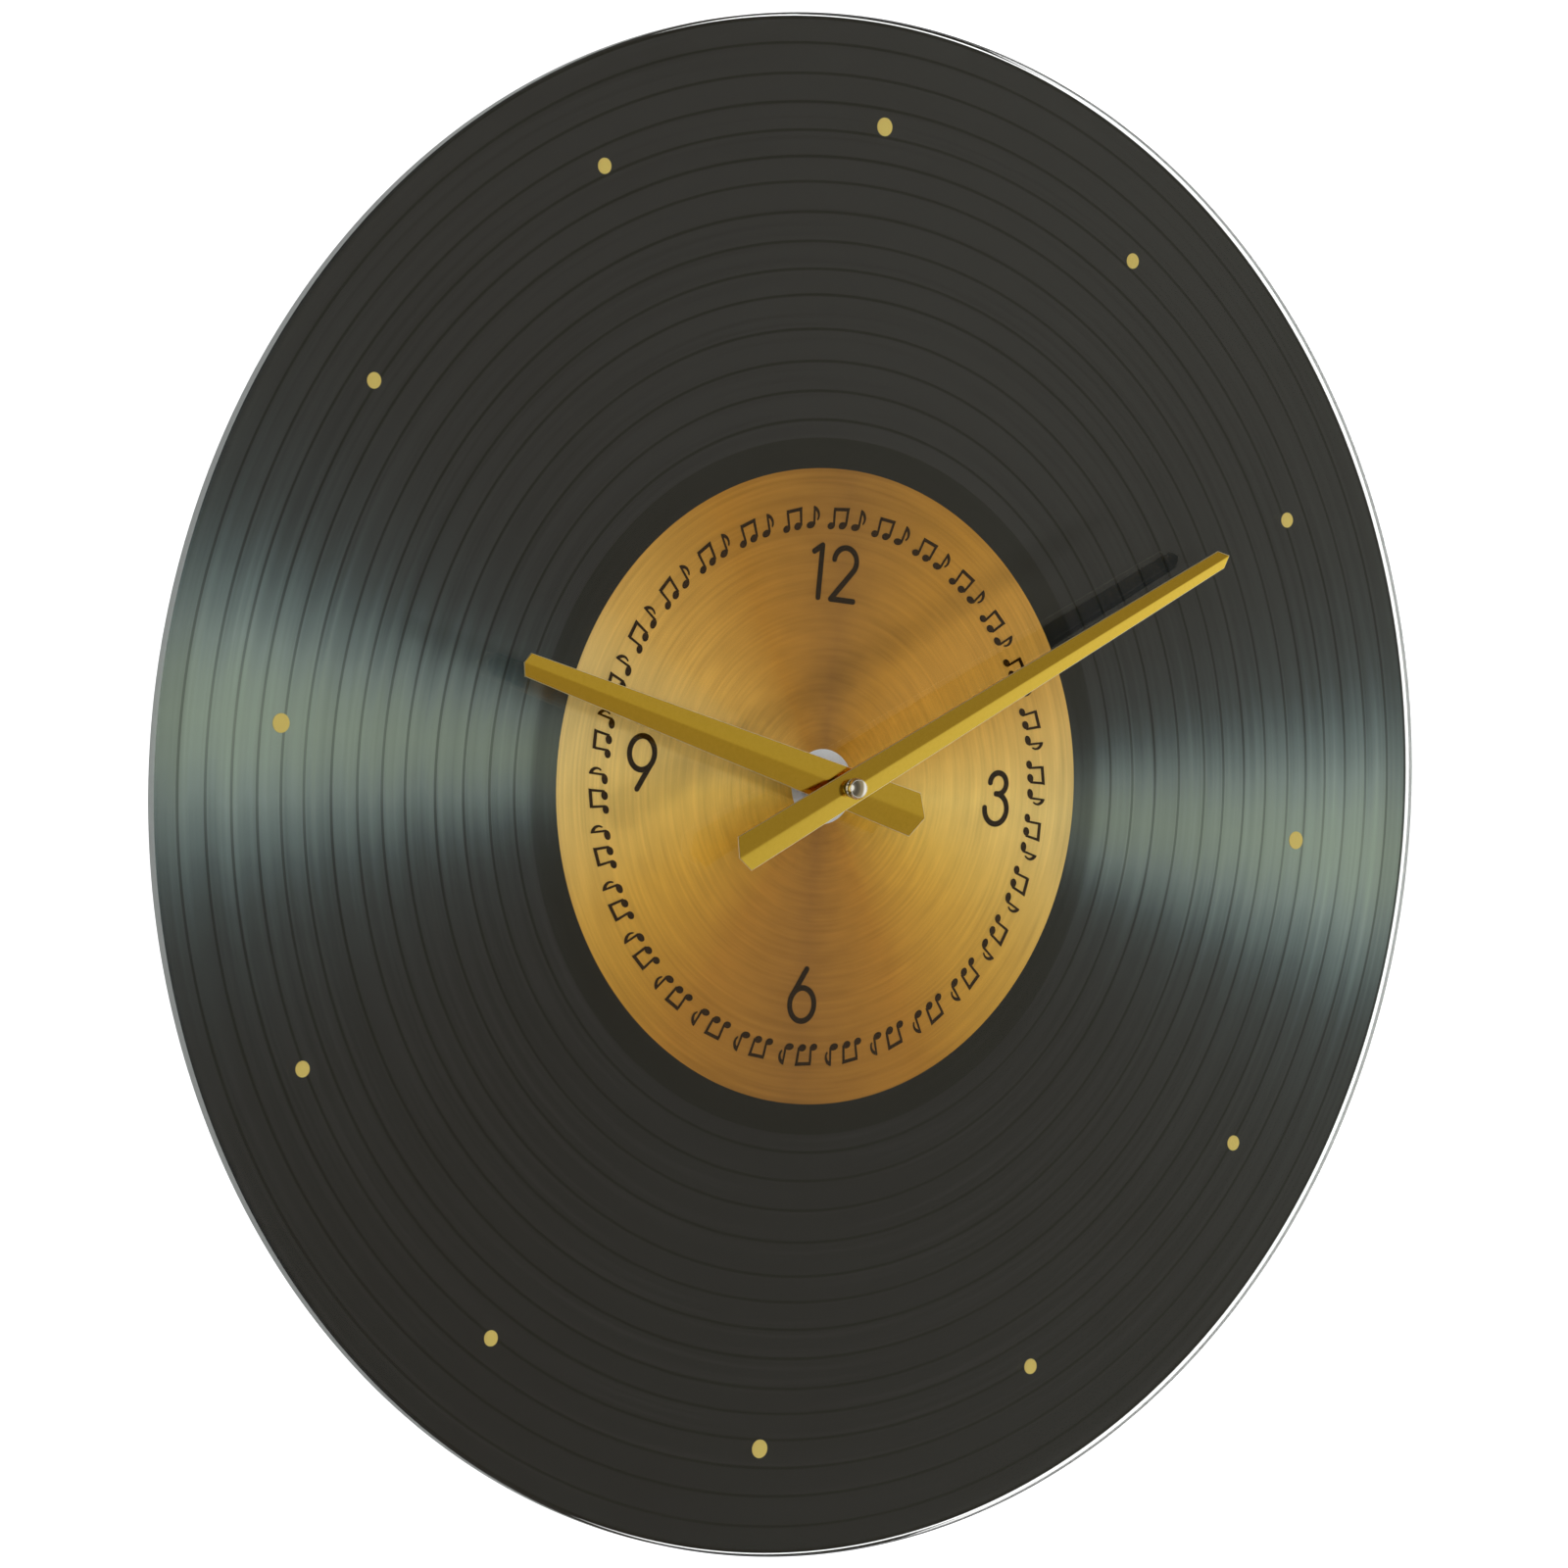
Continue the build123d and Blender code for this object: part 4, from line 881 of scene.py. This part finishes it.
# %% [markdown]
# ## Softer edges behind
#
# Moulded and pressed parts never have knife edges.  The shapes from the frame do, so
# the ones that show get their corner points joined and a small bevel.

# %% Break the edges of the parts at the back
SOFT_EDGES = {"front_case": 0.35, "rear_cover": 0.12, "hanger_bracket": 0.12, "setting_knob": 0.05}
for part, width in SOFT_EDGES.items():
    weld = parts[part].modifiers.new("joined_points", "WELD")
    weld.merge_threshold = 0.002 * MM
    soften(parts[part], width, 50)
print("softened", ", ".join(SOFT_EDGES))

# %% [markdown]
# ## The room and its light
#
# The clock hangs in a white room.  What the eye sees straight on is plain white.  What
# polished things mirror is the room itself, which is dim in front of the clock and bright
# to its sides: that is why the glass stays dark, and why one half of each hand is bright.
# The world tells the two apart by how often the light has been mirrored, let through or
# scattered on its way.

# %% White room
ROOM = (
    (-90, (0.95, 0.95, 0.95)), (-66, (0.9, 0.9, 0.88)), (-56, (0.22, 0.2, 0.17)),
    (-35, (0.09, 0.08, 0.065)), (-8, (0.12, 0.105, 0.08)), (12, (0.27, 0.23, 0.16)),
    (33, (0.33, 0.28, 0.19)), (41, (0.48, 0.45, 0.34)), (50, (0.8, 0.79, 0.77)),
    (62, (1.0, 1.0, 1.0)), (90, (1.0, 1.0, 1.0)),
)
BEHIND = 0.85
STRAIGHT_ON = 1.2


def white_room():
    world = bpy.data.worlds.new("white_room")
    bpy.context.scene.world = world
    world.use_nodes = True
    world.cycles.sampling_method = "NONE"
    tree = world.node_tree
    split = tree.nodes.new("ShaderNodeSeparateXYZ")
    connect(tree, tree.nodes.new("ShaderNodeTexCoord").outputs["Generated"], split.inputs[0])
    stops = [(0.5 + 0.5 * sin(radians(right)), light) for right, light in ROOM]
    across = sum_of(tree, "ADD", sum_of(tree, "MULTIPLY", split.outputs["X"], 0.5), 0.5)
    front = ramp(tree, across, stops)
    behind = sum_of(tree, "GREATER_THAN", split.outputs["Y"], 0.0)
    mirrored = mixed(tree, behind, front, grey(BEHIND))
    path = tree.nodes.new("ShaderNodeLightPath").outputs
    outside = sum_of(tree, "LESS_THAN", path["Transmission Depth"], 0.5)
    mirrored = mixed(tree, outside, grey(0.0), mirrored)
    once = sum_of(tree, "GREATER_THAN", path["Glossy Depth"], 0.5)
    share = sum_of(tree, "MULTIPLY", once, sum_of(tree, "LESS_THAN", path["Diffuse Depth"], 0.5))
    light = mixed(tree, share, grey(STRAIGHT_ON), mirrored)
    connect(tree, light, tree.nodes["Background"].inputs["Color"])


white_room()
print(len(ROOM), "shades across the room")

# %% [markdown]
# One soft lamp stands far to the right of the clock and a little below it, so the shadows
# of the hands fall to the left and up.  It is kept out of what the metal and the glass
# mirror, and it reaches the print straight through the glass.

# %% The side lamp
def soft_lamp(name, right, up, off, wide, tall, watts):
    """A soft lamp that faces the hub of the clock."""
    lamp = bpy.data.lights.new(name, "AREA")
    lamp.shape = "RECTANGLE"
    lamp.size, lamp.size_y = wide, tall
    lamp.energy = watts
    holder = bpy.data.objects.new(name, lamp)
    bpy.context.scene.collection.objects.link(holder)
    holder.location = off * direction(radians(right), radians(up))
    holder.rotation_euler = (-holder.location).to_track_quat("-Z", "Y").to_euler()
    holder.visible_transmission = False
    holder.visible_glossy = False
    print(name, "stands", off, "m from the hub")


soft_lamp("side_lamp", 66.3, -11.0, 3.0, 0.22, 0.22, 32.0)

# %% [markdown]
# A plain pale disc lies below the clock as its floor.  It only lights the clock from below:
# it is staging, not a part of the clock.

# %% A pale floor below
FLOOR_DROP = 0.45
FLOOR_RADIUS = 1.1


def lay_floor():
    mesh = bpy.data.meshes.new("pale_floor")
    work = bmesh.new()
    bmesh.ops.create_circle(work, cap_ends=True, radius=FLOOR_RADIUS, segments=128)
    work.to_mesh(mesh)
    work.free()
    mesh.materials.append(mottled("pale_floor", paint(244, 244, 243), paint(250, 250, 249), 8, 0.8))
    floor = bpy.data.objects.new("pale_floor", mesh)
    floor.location.z = -FLOOR_DROP
    bpy.context.scene.collection.objects.link(floor)
    floor.visible_glossy = False


lay_floor()
print("floor", FLOOR_DROP, "m below the hub")
